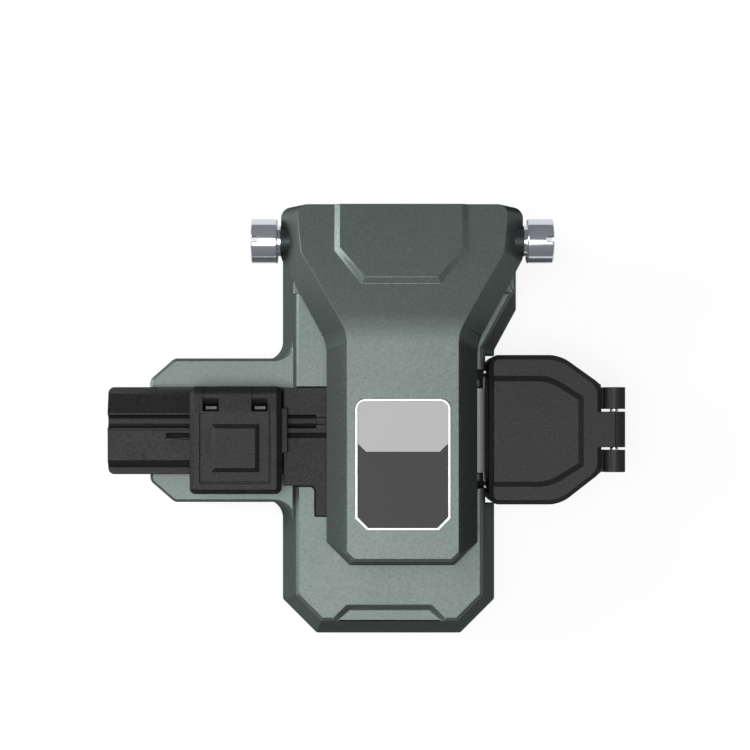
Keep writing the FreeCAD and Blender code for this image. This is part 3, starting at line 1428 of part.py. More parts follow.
def knuckle(owner, name, low, high, web):
    """Hinge knuckle: a round barrel and the web that joins it to its wall."""
    prism(owner, f"{name}_web", "XZ", low, high, web)
    prism(owner, name, "XZ", low, high, circles=[(size.barrel_x, size.barrel_z, size.barrel_radius)])


def scrap_lid():
    """Lid of the bin: bevelled plate with a raised panel, a lip inside, and the middle knuckle."""
    lid = body("scrap_lid")
    foot = size.bin_rim + 0.05
    top = foot + size.scrap_lid_thick
    prism(lid, "plate", "XY", foot, top, bin_outline(0))
    finish_edges(lid, "rim", "Chamfer", size.scrap_lid_chamfer, ((None, None, top), (None, None, top)))
    rear = size.scrap_panel_rear
    front = -size.scrap_panel_front
    left = size.bin_left + size.scrap_lid_chamfer

    def panel(inset):
        right = size.scrap_panel_right - inset
        cut = size.scrap_panel_cut - inset * 0.4
        return [(left, front + inset), (right - cut * 1.6, front + inset), (right, front + inset + cut),
                (right, rear - inset - cut), (right - cut * 1.6, rear - inset), (left, rear - inset)]
    loft(lid, "panel", (top - 0.01, panel(-size.scrap_panel_bevel / 2)),
         (top + size.scrap_panel_raise, panel(size.scrap_panel_bevel / 2)))
    lip = size.bin_wall + size.part_gap
    prism(lid, "lip", "XY", foot - size.scrap_lid_lip, foot, bin_outline(lip))
    prism(lid, "lip_hollow", "XY", foot - size.scrap_lid_lip, foot, bin_outline(lip + 1.2), cut=True)
    low = -size.barrel_lid_front
    high = size.barrel_lid_rear
    root = size.bin_right - size.scrap_lid_chamfer * 2
    knuckle(lid, "knuckle", low, high,
            [(root, foot), (size.barrel_x, foot), (size.barrel_x, top), (root, top)])
    bore = (size.barrel_x, size.barrel_z, size.scrap_pin_radius + size.running_gap)
    prism(lid, "pin_bore", "XZ", low - 1, high + 1, circles=[bore], cut=True)


def check_model():
    """Stops if a feature failed, a pocket removed nothing, or a shape isn't a sound solid."""
    doc.recompute()
    faults = []
    for thing in doc.Objects:
        if "Invalid" in thing.State or "Error" in thing.State:
            faults.append(f"{thing.Label} failed")
        elif "Touched" in thing.State:
            faults.append(f"{thing.Label} was not worked out")
        elif thing.TypeId in ("PartDesign::Pocket", "PartDesign::Groove", "PartDesign::SubtractiveLoft"):
            if thing.Shape.Volume > thing.BaseFeature.Shape.Volume - 1e-4:
                faults.append(f"{thing.Label} removes nothing")
    for part in PARTS:
        if part.Shape.isNull() or not part.Shape.isValid() or not part.Shape.Solids:
            faults.append(f"{part.Label} has no sound solid")
    if faults:
        raise RuntimeError("; ".join(faults))


base_housing()
base_fittings()
guide_plate()
fibre_holder()
holder_lid()
lever_cover()
label()
hinge()
drive()
carriage()
clamps()
scrap_roller()
scrap_bin()
scrap_lid()
check_model()
os.makedirs("parts", exist_ok=True)
for part in PARTS:
    part.Shape.exportStep(f"parts/{part.Label}.step")
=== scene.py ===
# %% [markdown]
# # Dressing a fibre cleaver
# A fibre cleaver is a bench tool that scores and snaps an optical fibre. Its frame, joints and
# sizes come from a CAD model; this lesson gives it soft edges, paint, plating and print, and a
# plain studio. Every piece stays where the CAD piece is, so that the tool still opens and shuts.
# Blender counts in metres here. The measures of pieces are written in millimetres, and MM turns
# them into metres.

import json
import math

import bpy
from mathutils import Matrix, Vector

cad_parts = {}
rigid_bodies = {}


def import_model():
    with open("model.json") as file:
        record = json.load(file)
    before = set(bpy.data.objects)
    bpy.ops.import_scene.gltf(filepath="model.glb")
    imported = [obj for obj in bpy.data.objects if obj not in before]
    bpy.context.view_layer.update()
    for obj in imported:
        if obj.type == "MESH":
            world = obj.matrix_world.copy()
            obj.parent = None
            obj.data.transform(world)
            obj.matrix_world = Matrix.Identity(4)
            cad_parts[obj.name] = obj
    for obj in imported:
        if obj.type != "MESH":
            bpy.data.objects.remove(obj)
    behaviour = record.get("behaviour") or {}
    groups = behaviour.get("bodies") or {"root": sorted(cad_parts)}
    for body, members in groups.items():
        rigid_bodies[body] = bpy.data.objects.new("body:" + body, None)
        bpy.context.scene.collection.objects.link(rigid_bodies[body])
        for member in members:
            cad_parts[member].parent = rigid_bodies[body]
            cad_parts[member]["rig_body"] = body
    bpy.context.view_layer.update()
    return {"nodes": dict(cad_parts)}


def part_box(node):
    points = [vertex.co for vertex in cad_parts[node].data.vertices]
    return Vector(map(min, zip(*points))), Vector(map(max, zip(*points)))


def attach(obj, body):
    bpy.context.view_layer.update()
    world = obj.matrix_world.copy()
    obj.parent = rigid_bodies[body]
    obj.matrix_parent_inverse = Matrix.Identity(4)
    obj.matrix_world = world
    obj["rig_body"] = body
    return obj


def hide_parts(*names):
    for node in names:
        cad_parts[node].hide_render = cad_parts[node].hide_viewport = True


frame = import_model()
MM = 0.001

# %% [markdown]
# ## Camera
# The tool is seen from straight above. A long lens half a metre up keeps the sides nearly upright.
# A small shift places the optical axis a little left of and below the middle of the frame, because
# the sides of the base show more on one side than on the other.

# %% Camera
CAMERA_PLACE = (-0.1, 1.85, 501)
PHOTO_WIDTH = 750  # pixels, and its height is the same
AXIS_LEFT, AXIS_DOWN = 8, 43.5  # pixels from the middle of the photograph to the optical axis

bpy.ops.object.camera_add(location=[c * MM for c in CAMERA_PLACE], rotation=(0, 0, 0))
camera = bpy.context.object
camera.data.lens = 100
camera.data.sensor_width = 36
camera.data.shift_x = AXIS_LEFT / PHOTO_WIDTH
camera.data.shift_y = AXIS_DOWN / PHOTO_WIDTH
bpy.context.scene.camera = camera
bpy.context.scene.view_settings.view_transform = "Standard"
print("camera height", camera.location.z)

# %% [markdown]
# ## Floor
# The floor is a wide pale sheet. A ray from the camera, from a mirror or through glass sees it
# almost white, and the tool's shadow still falls on it, because a part of its brightness is real
# light and the rest its own.

# %% Floor
FLOOR_WIDTH = 12  # metres, so that a view from 15 degrees up still shows no edge
FLOOR_GLOW = 0.86  # with the light that falls on the cloth, this adds up to white
FLOOR_CLOTH = (0.2, 0.2, 0.2, 1)
WHITE = (1, 1, 1, 1)


def node(tree, kind, **settings):
    """A shader node with some of its settings and sockets filled in."""
    made = tree.nodes.new(kind)
    for name, value in settings.items():
        if name in made.inputs:
            made.inputs[name].default_value = value
        else:
            setattr(made, name, value)
    return made


def floor_paper():
    paper = bpy.data.materials.new("studio_paper")
    paper.use_nodes = True
    tree = paper.node_tree
    tree.nodes.clear()
    rays = node(tree, "ShaderNodeLightPath")
    seen = node(tree, "ShaderNodeMath", operation="ADD")
    seen_through = node(tree, "ShaderNodeMath", operation="ADD", use_clamp=True)
    strength = node(tree, "ShaderNodeMath", operation="MULTIPLY")
    strength.inputs[1].default_value = FLOOR_GLOW
    glow = node(tree, "ShaderNodeEmission", Color=WHITE)
    cloth = node(tree, "ShaderNodeBsdfDiffuse", Color=FLOOR_CLOTH)
    both = node(tree, "ShaderNodeAddShader")
    out = node(tree, "ShaderNodeOutputMaterial")
    link = tree.links.new
    link(rays.outputs["Is Camera Ray"], seen.inputs[0])
    link(rays.outputs["Is Glossy Ray"], seen.inputs[1])
    link(seen.outputs[0], seen_through.inputs[0])
    link(rays.outputs["Is Transmission Ray"], seen_through.inputs[1])
    link(seen_through.outputs[0], strength.inputs[0])
    link(strength.outputs[0], glow.inputs["Strength"])
    link(cloth.outputs[0], both.inputs[0])
    link(glow.outputs[0], both.inputs[1])
    link(both.outputs[0], out.inputs["Surface"])
    return paper


bpy.ops.mesh.primitive_plane_add(size=FLOOR_WIDTH, location=(0, 0, 0))
floor = bpy.context.object
floor.name = "studio_floor"
floor.data.materials.append(floor_paper())
print("floor laid,", floor.dimensions.x, "m wide")

# %% [markdown]
# ## Light
# One wide soft lamp hangs over the tool. A strip to the left lights the left slopes, a strip to the
# right draws a thin bright line on the right edges, and the world adds a dim grey. Flat tops face
# the lamp and turn bright, while walls and slopes stay dark, which draws the outline of each form.
# The world is the same for all rays, and polished parts show it as a studio's dark ceiling.

# %% Light
LAMP_AIM = Vector((0, 0, 0.03))
WORLD_COLOUR, WORLD_STRENGTH = (0.96, 0.98, 1, 1), 0.09

lamps = {  # place and size in metres, power in watts
    "top_softbox": ((-0.1, -0.11, 1.1), (0.6, 0.5), 6.15),
    "left_strip": ((-0.9, 0.2, 0.4), (0.3, 0.8), 9.0),
    "right_strip": ((0.62, 0.1, 0.62), (0.1, 0.8), 0.7),
}


def soft_lamp(name, place, size, power):
    bpy.ops.object.light_add(type="AREA", location=place)
    lamp = bpy.context.object
    lamp.name = name
    lamp.data.shape = "RECTANGLE"
    lamp.data.size, lamp.data.size_y = size
    lamp.data.energy = power
    lamp.rotation_euler = (LAMP_AIM - Vector(place)).to_track_quat("-Z", "Y").to_euler()


for name, (place, size, power) in lamps.items():
    soft_lamp(name, place, size, power)

world = bpy.data.worlds.new("studio_world")
world.use_nodes = True
sky = world.node_tree.nodes["Background"]
sky.inputs["Color"].default_value = WORLD_COLOUR
sky.inputs["Strength"].default_value = WORLD_STRENGTH
bpy.context.scene.world = world

# %% [markdown]
# ## Finishes
# Each finish starts from its colour in the photograph, written as the screen shows it (0 to 255).
# A screen level isn't the amount of light, so it is turned into the linear number that a shader
# works with. One Principled shader then holds colour, gloss and metal.

# %% Finishes: a plain one
def tone(red, green, blue):
    """Screen colour, 0 to 255, as the linear colour that a shader needs."""
    def linear(level):
        level /= 255
        return level / 12.92 if level <= 0.04045 else ((level + 0.055) / 1.055) ** 2.4
    return (linear(red), linear(green), linear(blue), 1)


def plain_finish(name, colour, roughness, metallic, gloss, edge):
    """A new material with one Principled shader; edge dims a metal's reflection at a flat angle."""
    material = bpy.data.materials.new(name)
    material.use_nodes = True
    shader = material.node_tree.nodes["Principled BSDF"]
    shader.inputs["Base Color"].default_value = colour
    shader.inputs["Roughness"].default_value = roughness
    shader.inputs["Metallic"].default_value = metallic
    shader.inputs["Specular IOR Level"].default_value = gloss
    shader.inputs["Specular Tint"].default_value = (edge, edge, edge, 1)
    return material


# %% [markdown]
# Grain comes from noise on Object coordinates, so it stays on the piece and keeps its scale in
# millimetres: it tints the colour a little, and lifts the surface by a few hundredths. A second,
# broad noise lets the gloss wander, because no real coat is equally smooth all over.

# %% Finishes: grain
RAMP_START, RAMP_END = 0.32, 0.68  # most of a noise lies between these two
BROAD_SCALE = 60.0  # about 17 mm from one patch to the next
BUMP_STRENGTH = 0.6


def add_grain(material, dark, light, grain_mm, lift_mm, stretch, rough):
    """Fine noise: tints between two colours, varies the gloss and lifts the surface."""
    tree = material.node_tree
    shader = tree.nodes["Principled BSDF"]
    place = node(tree, "ShaderNodeTexCoord")
    mapping = node(tree, "ShaderNodeMapping", Scale=stretch)
    fine = node(tree, "ShaderNodeTexNoise", Scale=1000 / grain_mm, Detail=3.0, Roughness=0.62)
    broad = node(tree, "ShaderNodeTexNoise", Scale=BROAD_SCALE, Detail=2.0)
    ramp = node(tree, "ShaderNodeValToRGB")
    for stop, (position, colour) in enumerate(((RAMP_START, dark), (RAMP_END, light))):
        ramp.color_ramp.elements[stop].position = position
        ramp.color_ramp.elements[stop].color = colour
    gloss = node(tree, "ShaderNodeMapRange", **{"To Min": rough[0], "To Max": rough[1]})
    bump = node(tree, "ShaderNodeBump", Distance=lift_mm * MM, Strength=BUMP_STRENGTH)
    link = tree.links.new
    link(place.outputs["Object"], mapping.inputs["Vector"])
    link(mapping.outputs[0], fine.inputs["Vector"])
    link(place.outputs["Object"], broad.inputs["Vector"])
    link(fine.outputs["Fac"], ramp.inputs[0])
    link(ramp.outputs[0], shader.inputs["Base Color"])
    link(broad.outputs["Fac"], gloss.inputs["Value"])
    link(gloss.outputs[0], shader.inputs["Roughness"])
    link(fine.outputs["Fac"], bump.inputs["Height"])
    link(bump.outputs[0], shader.inputs["Normal"])
    return material


finishes = {}


def add_finish(slot, name, tones, roughness, rough, grain, metallic=0.0, gloss=0.5, edge=1.0,
               stretch=(1, 1, 1)):
    """Files a finish under its slot; tones are dark, middle and light, grain is size and lift."""
    dark, middle, light = [tone(*levels) for levels in tones]
    material = plain_finish(name, middle, roughness, metallic, gloss, edge)
    finishes[slot] = add_grain(material, dark, light, *grain, stretch, rough)


def grey(level):
    return (level, level, level)


# %% [markdown]
# The paint holds fine metal flakes, so it is a little over half metallic. Flakes throw the lamp's
# light back from flat tops and give little from slopes and walls, which sets the faces apart. The
# black coats work in the same way, and the hidden cover is a plain dull plastic.

# %% Finishes: paint and plastic
add_finish("cast_paint", "cast_paint_green_grey", ((93, 102, 99), (102, 111, 108), (111, 120, 117)),
           0.4, (0.38, 0.44), (0.34, 0.025), metallic=0.6, gloss=0.0, edge=0.03)
# The axle's end shows on the lever's slope. Its paint is a darker copy of the cast paint, painted
# shade, so that its top, which faces the lamp, stays as dark as the shaded slope around it.
add_finish("axle_painted_shade", "axle_end_painted_shade", ((64, 72, 70), (70, 78, 76), (76, 84, 82)),
           0.45, (0.4, 0.5), (0.34, 0.01), metallic=0.5, gloss=0.05, edge=0.03)
add_finish("black_anodised", "black_anodised_grain", (grey(39), grey(49), grey(59)),
           0.42, (0.4, 0.46), (0.32, 0.03), metallic=0.5, gloss=0.03, edge=0.05)
add_finish("black_plastic", "black_moulded_grain", (grey(50), grey(58), grey(66)),
           0.44, (0.41, 0.47), (0.3, 0.025), metallic=0.5, gloss=0.03, edge=0.05)
add_finish("dark_plastic", "dark_cover_plastic", ((34, 34, 35), (40, 41, 42), (48, 48, 49)),
           0.6, (0.55, 0.65), (0.5, 0.02), gloss=0.3)
add_finish("rubber", "grey_rubber", ((44, 44, 46), (52, 52, 54), (60, 60, 62)),
           0.8, (0.75, 0.85), (0.4, 0.02), gloss=0.3)
print("coats, plastic and rubber:", sorted(finishes))

# %% [markdown]
# A ground or turned metal has fine lines in one direction, which the stretch gives: the noise is
# squeezed across the lines. Spring steel is dull, so it is only partly metallic and keeps its own
# grey where nothing bright is there to reflect. The satin face of the roller is dull and partly
# metallic too, and its pale grey is lifted further as painted light, so that it shows bright in
# the shade between the lever and the bin.

# %% Finishes: metals
add_finish("chrome", "polished_plating", ((206, 211, 219), (214, 219, 226), (222, 226, 232)),
           0.14, (0.1, 0.17), (0.9, 0.002), metallic=0.75, stretch=(1, 6, 6))
add_finish("steel", "ground_steel", ((176, 180, 182), (190, 194, 196), (206, 209, 210)),
           0.3, (0.26, 0.36), (0.25, 0.004), metallic=1.0, stretch=(1, 8, 1))
add_finish("spring_steel", "dull_spring_steel", ((104, 104, 106), (112, 112, 114), (120, 120, 122)),
           0.5, (0.45, 0.55), (0.25, 0.004), metallic=0.2, gloss=0.2)
# Painted light: the roller face's colour is raised well above its own tone, so that it reads bright
# in the shade between the lever and the bin.
add_finish("roller_face_painted_light", "satin_roller_painted_light", ((200, 207, 204), (210, 217, 214), (220, 227, 224)),
           0.45, (0.4, 0.5), (0.3, 0.01), metallic=0.55)
add_finish("hard_metal", "lapped_hard_metal", ((160, 164, 168), (168, 172, 176), (178, 181, 185)),
           0.18, (0.14, 0.22), (0.4, 0.002), metallic=1.0)
add_finish("aluminium", "milled_aluminium", ((186, 188, 190), (196, 198, 200), (208, 210, 211)),
           0.36, (0.32, 0.42), (0.22, 0.006), metallic=1.0, stretch=(5, 1, 5))
print("with the metals:", len(finishes), "finishes")

# %% [markdown]
# The label is printed on thin metal foil. Its silver and its dark field are even and a little dull,
# and the rim is bare and bright.

# %% Finishes: print
add_finish("label_silver", "label_silver_print", (grey(186), grey(190), grey(195)),
           0.5, (0.45, 0.55), (0.2, 0.002), gloss=0.2, stretch=(0.2, 3, 1))
add_finish("label_dark_print", "label_dark_print", (grey(64), grey(67), grey(70)),
           0.5, (0.45, 0.55), (0.2, 0.002), gloss=0.2, stretch=(0.2, 3, 1))
add_finish("label_bright", "label_bright_edge", (grey(240), grey(244), grey(250)),
           0.3, (0.26, 0.34), (0.6, 0.002), metallic=0.2)
print("with the label:", len(finishes), "finishes")

# %% [markdown]
# The CAD nodes carry the name of their material slot. Each node that is shown as it is gets the
# finish of its slot; the nodes that are replaced further down get it through their new piece.

# %% Finish the CAD nodes
slot_of = {}
for part in frame["nodes"].values():
    slot = part.data.materials[0].name.split(".")[0]
    slot_of[part.name] = slot
    part.data.materials[0] = finishes[slot]
print("dressed", len(slot_of), "nodes")

# %% [markdown]
# ## Picking and editing
# An operator works on all that is selected, so each step first deselects everything and then picks
# its own points, edges or faces by their place. These helpers do that picking in millimetres and
# open edit mode with the pick still standing.

# %% Pick points and edges, and edit them
def deselect_all():
    if bpy.context.object and bpy.context.object.mode == "EDIT":
        bpy.ops.object.mode_set(mode="OBJECT")
    bpy.ops.object.select_all(action="DESELECT")


def use_only(piece):
    deselect_all()
    piece.select_set(True)
    bpy.context.view_layer.objects.active = piece


def unpick(*parts):
    for part in parts:
        part.foreach_set("select", [False] * len(part))


def pick_edges(piece, wanted):
    """Selects the edges whose two ends, in millimetres, pass the test."""
    points = [vertex.co / MM for vertex in piece.data.vertices]
    unpick(piece.data.vertices, piece.data.edges, piece.data.polygons)
    for edge in piece.data.edges:
        edge.select = wanted(*[points[i] for i in edge.vertices])


def edit_picked(piece, kind):
    """Edit mode with the picked points, edges or faces still selected."""
    use_only(piece)
    modes = (kind == "points", kind == "edges", kind == "faces")
    bpy.context.tool_settings.mesh_select_mode = modes
    bpy.ops.object.mode_set(mode="EDIT")


def bevel_picked(piece, width_mm, steps):
    edit_picked(piece, "edges")
    bpy.ops.mesh.bevel(offset=width_mm * MM, segments=steps, affect="EDGES")
    bpy.ops.object.mode_set(mode="OBJECT")


def move_points(piece, wanted, shift_mm):
    """Moves the points whose place, in millimetres, passes the test."""
    unpick(piece.data.edges, piece.data.polygons)
    for point in piece.data.vertices:
        point.select = wanted(point.co / MM)
    edit_picked(piece, "points")
    bpy.ops.transform.translate(value=[c * MM for c in shift_mm])
    bpy.ops.object.mode_set(mode="OBJECT")


# %% [markdown]
# ## Cast, milled and moulded pieces
# The housings have the right form already, but their edges are knife sharp, and a sharp edge shows
# no line of light. A copy of the CAD node has its loose triangles merged and its flat faces joined,
# and a bevel then rounds every edge by a few tenths of a millimetre, as tumbling and paint do.

# %% Round the edges of a form, and finish a piece
SMOOTH_ANGLE = math.radians(30)


def round_edges(piece, width_mm, steps=3, sharp=24, clamp=False):
    """Bevels the sharp edges and smooths the shading across them, while large flats stay flat."""
    use_only(piece)
    bevel = piece.modifiers.new("edge", "BEVEL")
    bevel.width = width_mm * MM
    bevel.segments = steps
    bevel.limit_method = "ANGLE"
    bevel.angle_limit = math.radians(sharp)
    bevel.use_clamp_overlap = clamp
    bevel.miter_outer = "MITER_ARC"
    bpy.ops.object.modifier_apply(modifier=bevel.name)
    bpy.ops.object.shade_smooth_by_angle(angle=SMOOTH_ANGLE)
    level = piece.modifiers.new("level_flats", "WEIGHTED_NORMAL")
    level.weight = 100
    level.keep_sharp = True
    bpy.ops.object.modifier_apply(modifier=level.name)


def finish_piece(piece, body, slot, *replaced, look=None):
    """Finish, body and CAD nodes of a piece; its own place goes into its mesh."""
    use_only(piece)
    bpy.ops.object.transform_apply(location=True, rotation=True, scale=True)
    piece.data.materials.clear()
    piece.data.materials.append(finishes[look or slot])
    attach(piece, body)
    if replaced:
        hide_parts(*replaced)


# %% [markdown]
# Some copies are also reshaped a little before the bevel, inside the CAD form. The rear slope of
# the rail starts nearer its middle, the notch of the base fits the bin more closely, and the cut
# corners of the bin and its lid are round.

# %% Reshape a copy
RAIL_TOP, RAIL_REAR_EDGE = 25.75, 5.23  # Z and Y of the edge where the rail's rear slope starts
RAIL_SHIFT = (0, -1.9, 0)
NOTCH_LEFT, NOTCH_RIGHT = 27, 31  # X between which the base's notch has its outer points
NOTCH_STEPS = ((-19.15, 0.92), (17.75, -0.97))  # Y of its front and rear face, and their way
BIN_MIDDLE, MIDDLE_REACH = -0.7, 8  # Y, and how far the hinge knuckles reach from there
INNER_CORNERS = (40.5, 44.5, 2.4)  # X from, X to, and how far the cut corner is rounded
OUTER_CORNERS = (51.8, 54.5, 1.6)
CLOSE = 0.04  # a point this near to an edge lies on it


def near(value, target):
    return abs(value - target) < CLOSE


def narrow_rail(piece):
    move_points(piece, lambda p: near(p.z, RAIL_TOP) and near(p.y, RAIL_REAR_EDGE), RAIL_SHIFT)


def close_notch(piece):
    for face_y, step_y in NOTCH_STEPS:
        move_points(piece, lambda p: NOTCH_LEFT < p.x < NOTCH_RIGHT and near(p.y, face_y),
                    (0, step_y, 0))


def round_corners(piece, low_x, high_x, width_mm):
    """Rounds the upright and leaning edges of the cut corners, but none of the hinge knuckles."""
    def wanted(a, b):
        inside = low_x < min(a.x, b.x) and max(a.x, b.x) < high_x
        rising = abs(a.z - b.z) > 0.3 and (a.xy - b.xy).length < 1.5
        return inside and rising and abs(a.y - BIN_MIDDLE) > MIDDLE_REACH
    pick_edges(piece, wanted)
    bevel_picked(piece, width_mm, steps=8)


def round_bin(piece):
    round_corners(piece, *INNER_CORNERS)


def round_lid(piece):
    round_corners(piece, *INNER_CORNERS)
    round_corners(piece, *OUTER_CORNERS)


reshapes = {"fibre_holder": narrow_rail, "base_housing": close_notch, "scrap_bin": round_bin,
            "scrap_lid": round_lid}
print("reshaped before they are rounded:", sorted(reshapes))

# %% [markdown]
# The bin has short edges beside its long ones. A full bevel would find no room there and throw
# spikes, so the bin's bevel is clamped to the room there is.

# %% Rounded copies of the large pieces
MERGE_DISTANCE = 0.002 * MM
FLAT_ANGLE = math.radians(0.6)

crowded = {"scrap_bin"}


def rounded_copy(node_name, width_mm, steps=3, sharp=24, look=None):
    """A copy of a CAD node with clean flat faces and rounded edges."""
    source = frame["nodes"][node_name]
    piece = bpy.data.objects.new(node_name + "_rounded", source.data.copy())
    bpy.context.scene.collection.objects.link(piece)
    use_only(piece)
    bpy.ops.object.mode_set(mode="EDIT")
    bpy.ops.mesh.select_all(action="SELECT")
    bpy.ops.mesh.remove_doubles(threshold=MERGE_DISTANCE)
    bpy.ops.mesh.dissolve_limited(angle_limit=FLAT_ANGLE)
    bpy.ops.object.mode_set(mode="OBJECT")
    if node_name in reshapes:
        reshapes[node_name](piece)
    round_edges(piece, width_mm, steps, sharp, clamp=node_name in crowded)
    finish_piece(piece, source["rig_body"], slot_of[node_name], node_name, look=look)
    print(piece.name, len(piece.data.polygons), "faces")


large_parts = {"lever_cover": 0.1, "base_housing": 0.25, "guide_plate": 0.12, "fibre_holder": 0.09,
               "holder_lid": 0.09, "scrap_bin": 0.25, "scrap_lid": 0.12}
for node_name, width_mm in large_parts.items():
    rounded_copy(node_name, width_mm)

# %% [markdown]
# ## Label
# The label is a thin printed plate with a bright rim. Its rear corners are round and its front ones
# are cut. A slab starts as a cube of the label's size; its upright edges are picked by their place
# and bevelled, with many steps for a round corner and one for a cut.

# %% A slab with round and cut corners
def in_mm(corners):
    """Low and high corner of a box in metres, in millimetres."""
    return [[c / MM for c in corner] for corner in corners]


def centre(low, high):
    """The middle between two corners in millimetres, in metres."""
    return [(a + b) / 2 * MM for a, b in zip(low, high)]


def block(name, low, high):
    """A cube primitive between two corners, in millimetres."""
    deselect_all()
    bpy.ops.mesh.primitive_cube_add(size=1, location=centre(low, high))
    piece = bpy.context.object
    piece.name = name
    piece.scale = [(b - a) * MM for a, b in zip(low, high)]
    bpy.ops.object.transform_apply(location=True, rotation=True, scale=True)
    return piece


def label_slab(name, low, high, round_mm, cut_mm):
    """Slab whose rear corners are round and whose front corners are cut."""
    slab = block(name, low, high)
    middle = (low[1] + high[1]) / 2

    def upright(a, b):
        return abs(a.z - b.z) > 0.01 and (a.xy - b.xy).length < 0.01
    pick_edges(slab, lambda a, b: upright(a, b) and a.y < middle)
    bevel_picked(slab, cut_mm, steps=1)
    pick_edges(slab, lambda a, b: upright(a, b) and a.y > middle)
    bevel_picked(slab, round_mm, steps=10)
    return slab


# %% [markdown]
# The rim is one slab with its middle pressed in: the top face is inset by the rim's width and moved
# down. The two printed fields lie inside it. The dark one is a little lower, so that the cut
# corners of the silver one show it, as on the real plate.

# %% Rim and printed fields
RIM_WIDTH, RIM_DEPTH = 0.45, 0.35
FIELD_THICKNESS = 0.42
DARK_REAR, SILVER_FRONT = -2.6, -5.46  # Y where each field ends under or over the other
DARK_DROP = 0.06


def press_top(piece, inset_mm, down_mm):
    """Insets the top face and moves the inner one down."""
    highest = max(vertex.co.z for vertex in piece.data.vertices)
    unpick(piece.data.vertices, piece.data.edges)
    for face in piece.data.polygons:
        face.select = face.normal.z > 0.9 and face.center.z > highest - 0.01 * MM
    edit_picked(piece, "faces")
    bpy.ops.mesh.inset(thickness=inset_mm * MM)
    bpy.ops.mesh.extrude_region_move(TRANSFORM_OT_translate={"value": (0, 0, -down_mm * MM)})
    bpy.ops.object.mode_set(mode="OBJECT")


def make_label():
    low, high = in_mm(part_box("label_frame"))
    rim = label_slab("label_rim", low, high, round_mm=2.2, cut_mm=2.6)
    press_top(rim, RIM_WIDTH, RIM_DEPTH)
    round_edges(rim, 0.06, steps=2)
    finish_piece(rim, "lever", "label_bright", "label_frame")
    low, high = in_mm(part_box("label_plate"))
    foot, top = high[2] - FIELD_THICKNESS, high[2] - DARK_DROP
    dark = label_slab("label_dark_field", (low[0], low[1], foot), (high[0], DARK_REAR, top),
                      round_mm=0.5, cut_mm=2.35)
    round_edges(dark, 0.03, steps=2)
    finish_piece(dark, "lever", "label_silver", look="label_dark_print")
    silver = label_slab("label_silver_field", (low[0], SILVER_FRONT, foot), high,
                        round_mm=1.75, cut_mm=1.85)
    round_edges(silver, 0.03, steps=2)
    finish_piece(silver, "lever", "label_silver", "label_plate")
    print("label", [round(b - a, 2) for a, b in zip(low, high)], "mm")


make_label()

# %% [markdown]
# ## Hinge knobs
# Each end of the lever's axle carries a turned and plated knob with a coin slot across its outer
# face. The knob is a lathe part, so it starts as a fine cylinder along X. Its rims get a small
# round, the slot is cut by a boolean with a thin block, as a saw would, and a thin neck joins the
# knob to the lever.

# %% Hinge knobs
NECK_LENGTH, NECK_OVERLAP = 0.7, 0.1
NECK_STEP = 1.5  # from the round of the knob in to that of the neck
SLOT_DEPTH, SLOT_HALF_WIDTH = 1.6, 0.4


def turned_bar(name, low, high, sides=96):
    """A fine cylinder along X that fills a box, in millimetres."""
    deselect_all()
    bpy.ops.mesh.primitive_cylinder_add(vertices=sides, radius=(high[2] - low[2]) / 2 * MM,
                                        depth=(high[0] - low[0]) * MM, location=centre(low, high),
                                        rotation=(0, math.pi / 2, 0))
    bar = bpy.context.object
    bar.name = name
    bpy.ops.object.transform_apply(location=True, rotation=True, scale=True)
    return bar


def cut_out(piece, cutter):
    """Takes the cutter's form out of the piece, and deletes the cutter."""
    use_only(piece)
    saw = piece.modifiers.new("saw", "BOOLEAN")
    saw.operation = "DIFFERENCE"
    saw.object = cutter
    bpy.ops.object.modifier_apply(modifier=saw.name)
    bpy.data.objects.remove(cutter)


def make_knob(side_name, outward):
    """outward is -1 for the left knob and 1 for the right one."""
    low, high = in_mm(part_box("hinge_knob_" + side_name))
    neck_low = [low[0], low[1] + NECK_STEP, low[2] + NECK_STEP]
    neck_high = [high[0], high[1] - NECK_STEP, high[2] - NECK_STEP]
    if outward < 0:
        high[0] -= NECK_LENGTH
        neck_low[0] = high[0] - NECK_OVERLAP
    else:
        low[0] += NECK_LENGTH
        neck_high[0] = low[0] + NECK_OVERLAP
    neck = turned_bar("neck_" + side_name, neck_low, neck_high)
    knob = turned_bar("knob_" + side_name, low, high)
    outer = low[0] if outward < 0 else high[0]
    middle_y = (low[1] + high[1]) / 2
    slot_left, slot_right = sorted((outer + outward, outer - outward * SLOT_DEPTH))
    cut_out(knob, block("saw_blade", (slot_left, middle_y - SLOT_HALF_WIDTH, low[2] - 1),
                        (slot_right, middle_y + SLOT_HALF_WIDTH, high[2] + 1)))
    round_edges(knob, 0.35, steps=4, sharp=40)
    neck.select_set(True)
    bpy.ops.object.join()
    finish_piece(knob, "lever", "chrome", "hinge_knob_" + side_name)
    print("knob", side_name, round(high[0] - low[0], 2), "mm long")


make_knob("left", -1)
make_knob("right", 1)

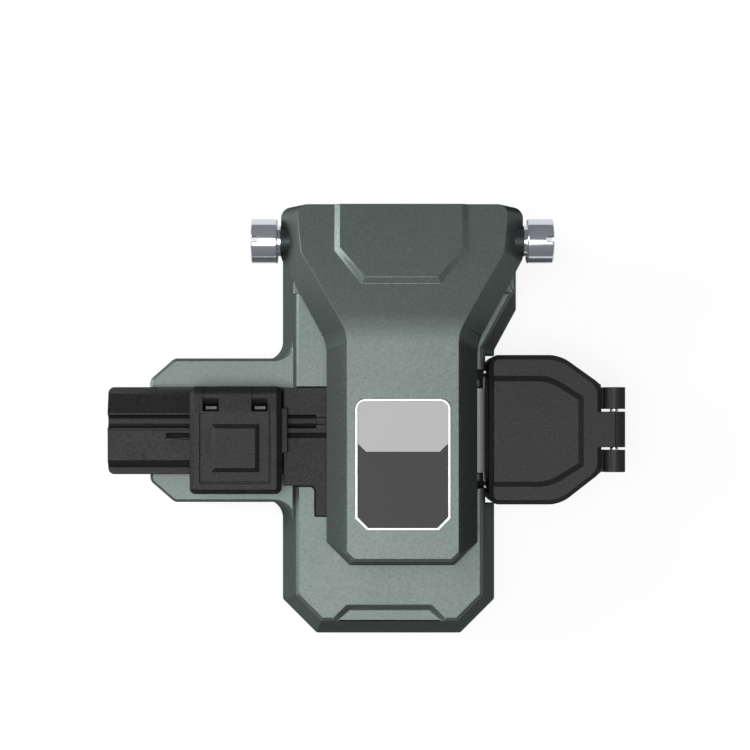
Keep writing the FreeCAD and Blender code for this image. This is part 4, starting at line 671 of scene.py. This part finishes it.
# %% [markdown]
# ## Barrels of the clamp lid
# The lid turns on a pin. Where its two windows meet the pin, a barrel of the lid goes round the pin
# and over the lugs of the rail, so that the rear of the lid is one dark fall in the photograph. A
# barrel is round about the pin's own axis, so it can turn with the lid and never meets the rail.

# %% Barrels of the clamp lid
BARREL_FRONT, BARREL_REAR = 4.97, 9.13  # Y
BARREL_FOOT, BARREL_TOP = 26.42, 30.58  # Z

windows = ((-37.22, -33.53), (-26.17, -22.48))  # X where each window starts and ends
for number, (left, right) in enumerate(windows, 1):
    barrel = turned_bar("lid_barrel_%d" % number, (left, BARREL_FRONT, BARREL_FOOT),
                        (right, BARREL_REAR, BARREL_TOP), sides=64)
    round_edges(barrel, 0.05, steps=2, sharp=40)
    finish_piece(barrel, frame["nodes"]["holder_lid"]["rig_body"], slot_of["holder_lid"])
    print(barrel.name, round(right - left, 2), "mm wide")

# %% [markdown]
# ## Small hardware
# Screws, pins, rods and clamps have the right form in the CAD model, so they are rounded copies
# with a narrow bevel. It is the bevel that catches the light on a small metal part.

# %% Small hardware
small_parts = {"lid_spring_tabs": 0.08, "lid_hinge_pin": 0.1, "scrap_lid_pin": 0.1,
               "hinge_axle": 0.1, "scrap_roller": 0.25, "roller_collars": 0.25,
               "roller_shaft": 0.1, "guide_plate_screws": 0.08, "holder_screws": 0.08,
               "cover_screws": 0.08, "clamp_block_screws": 0.08, "yoke_screws": 0.08,
               "rubber_feet": 0.3, "bottom_cover": 0.15, "blade_carriage": 0.2,
               "carriage_yoke": 0.15, "drive_arm": 0.15, "clamp_block": 0.2, "guide_rods": 0.1,
               "blade_nut": 0.15, "upper_clamp_left": 0.1, "upper_clamp_right": 0.1,
               "anvil": 0.08, "lid_magnets": 0.08, "lower_clamp_pads": 0.08}
# The axle end takes a darker paint as painted shade, and the roller face a lifted pale grey as
# painted light.
looks = {"lid_spring_tabs": "spring_steel", "scrap_roller": "roller_face_painted_light",
         "hinge_axle": "axle_painted_shade"}
for node_name, width_mm in small_parts.items():
    rounded_copy(node_name, width_mm, steps=2, sharp=35, look=looks.get(node_name))
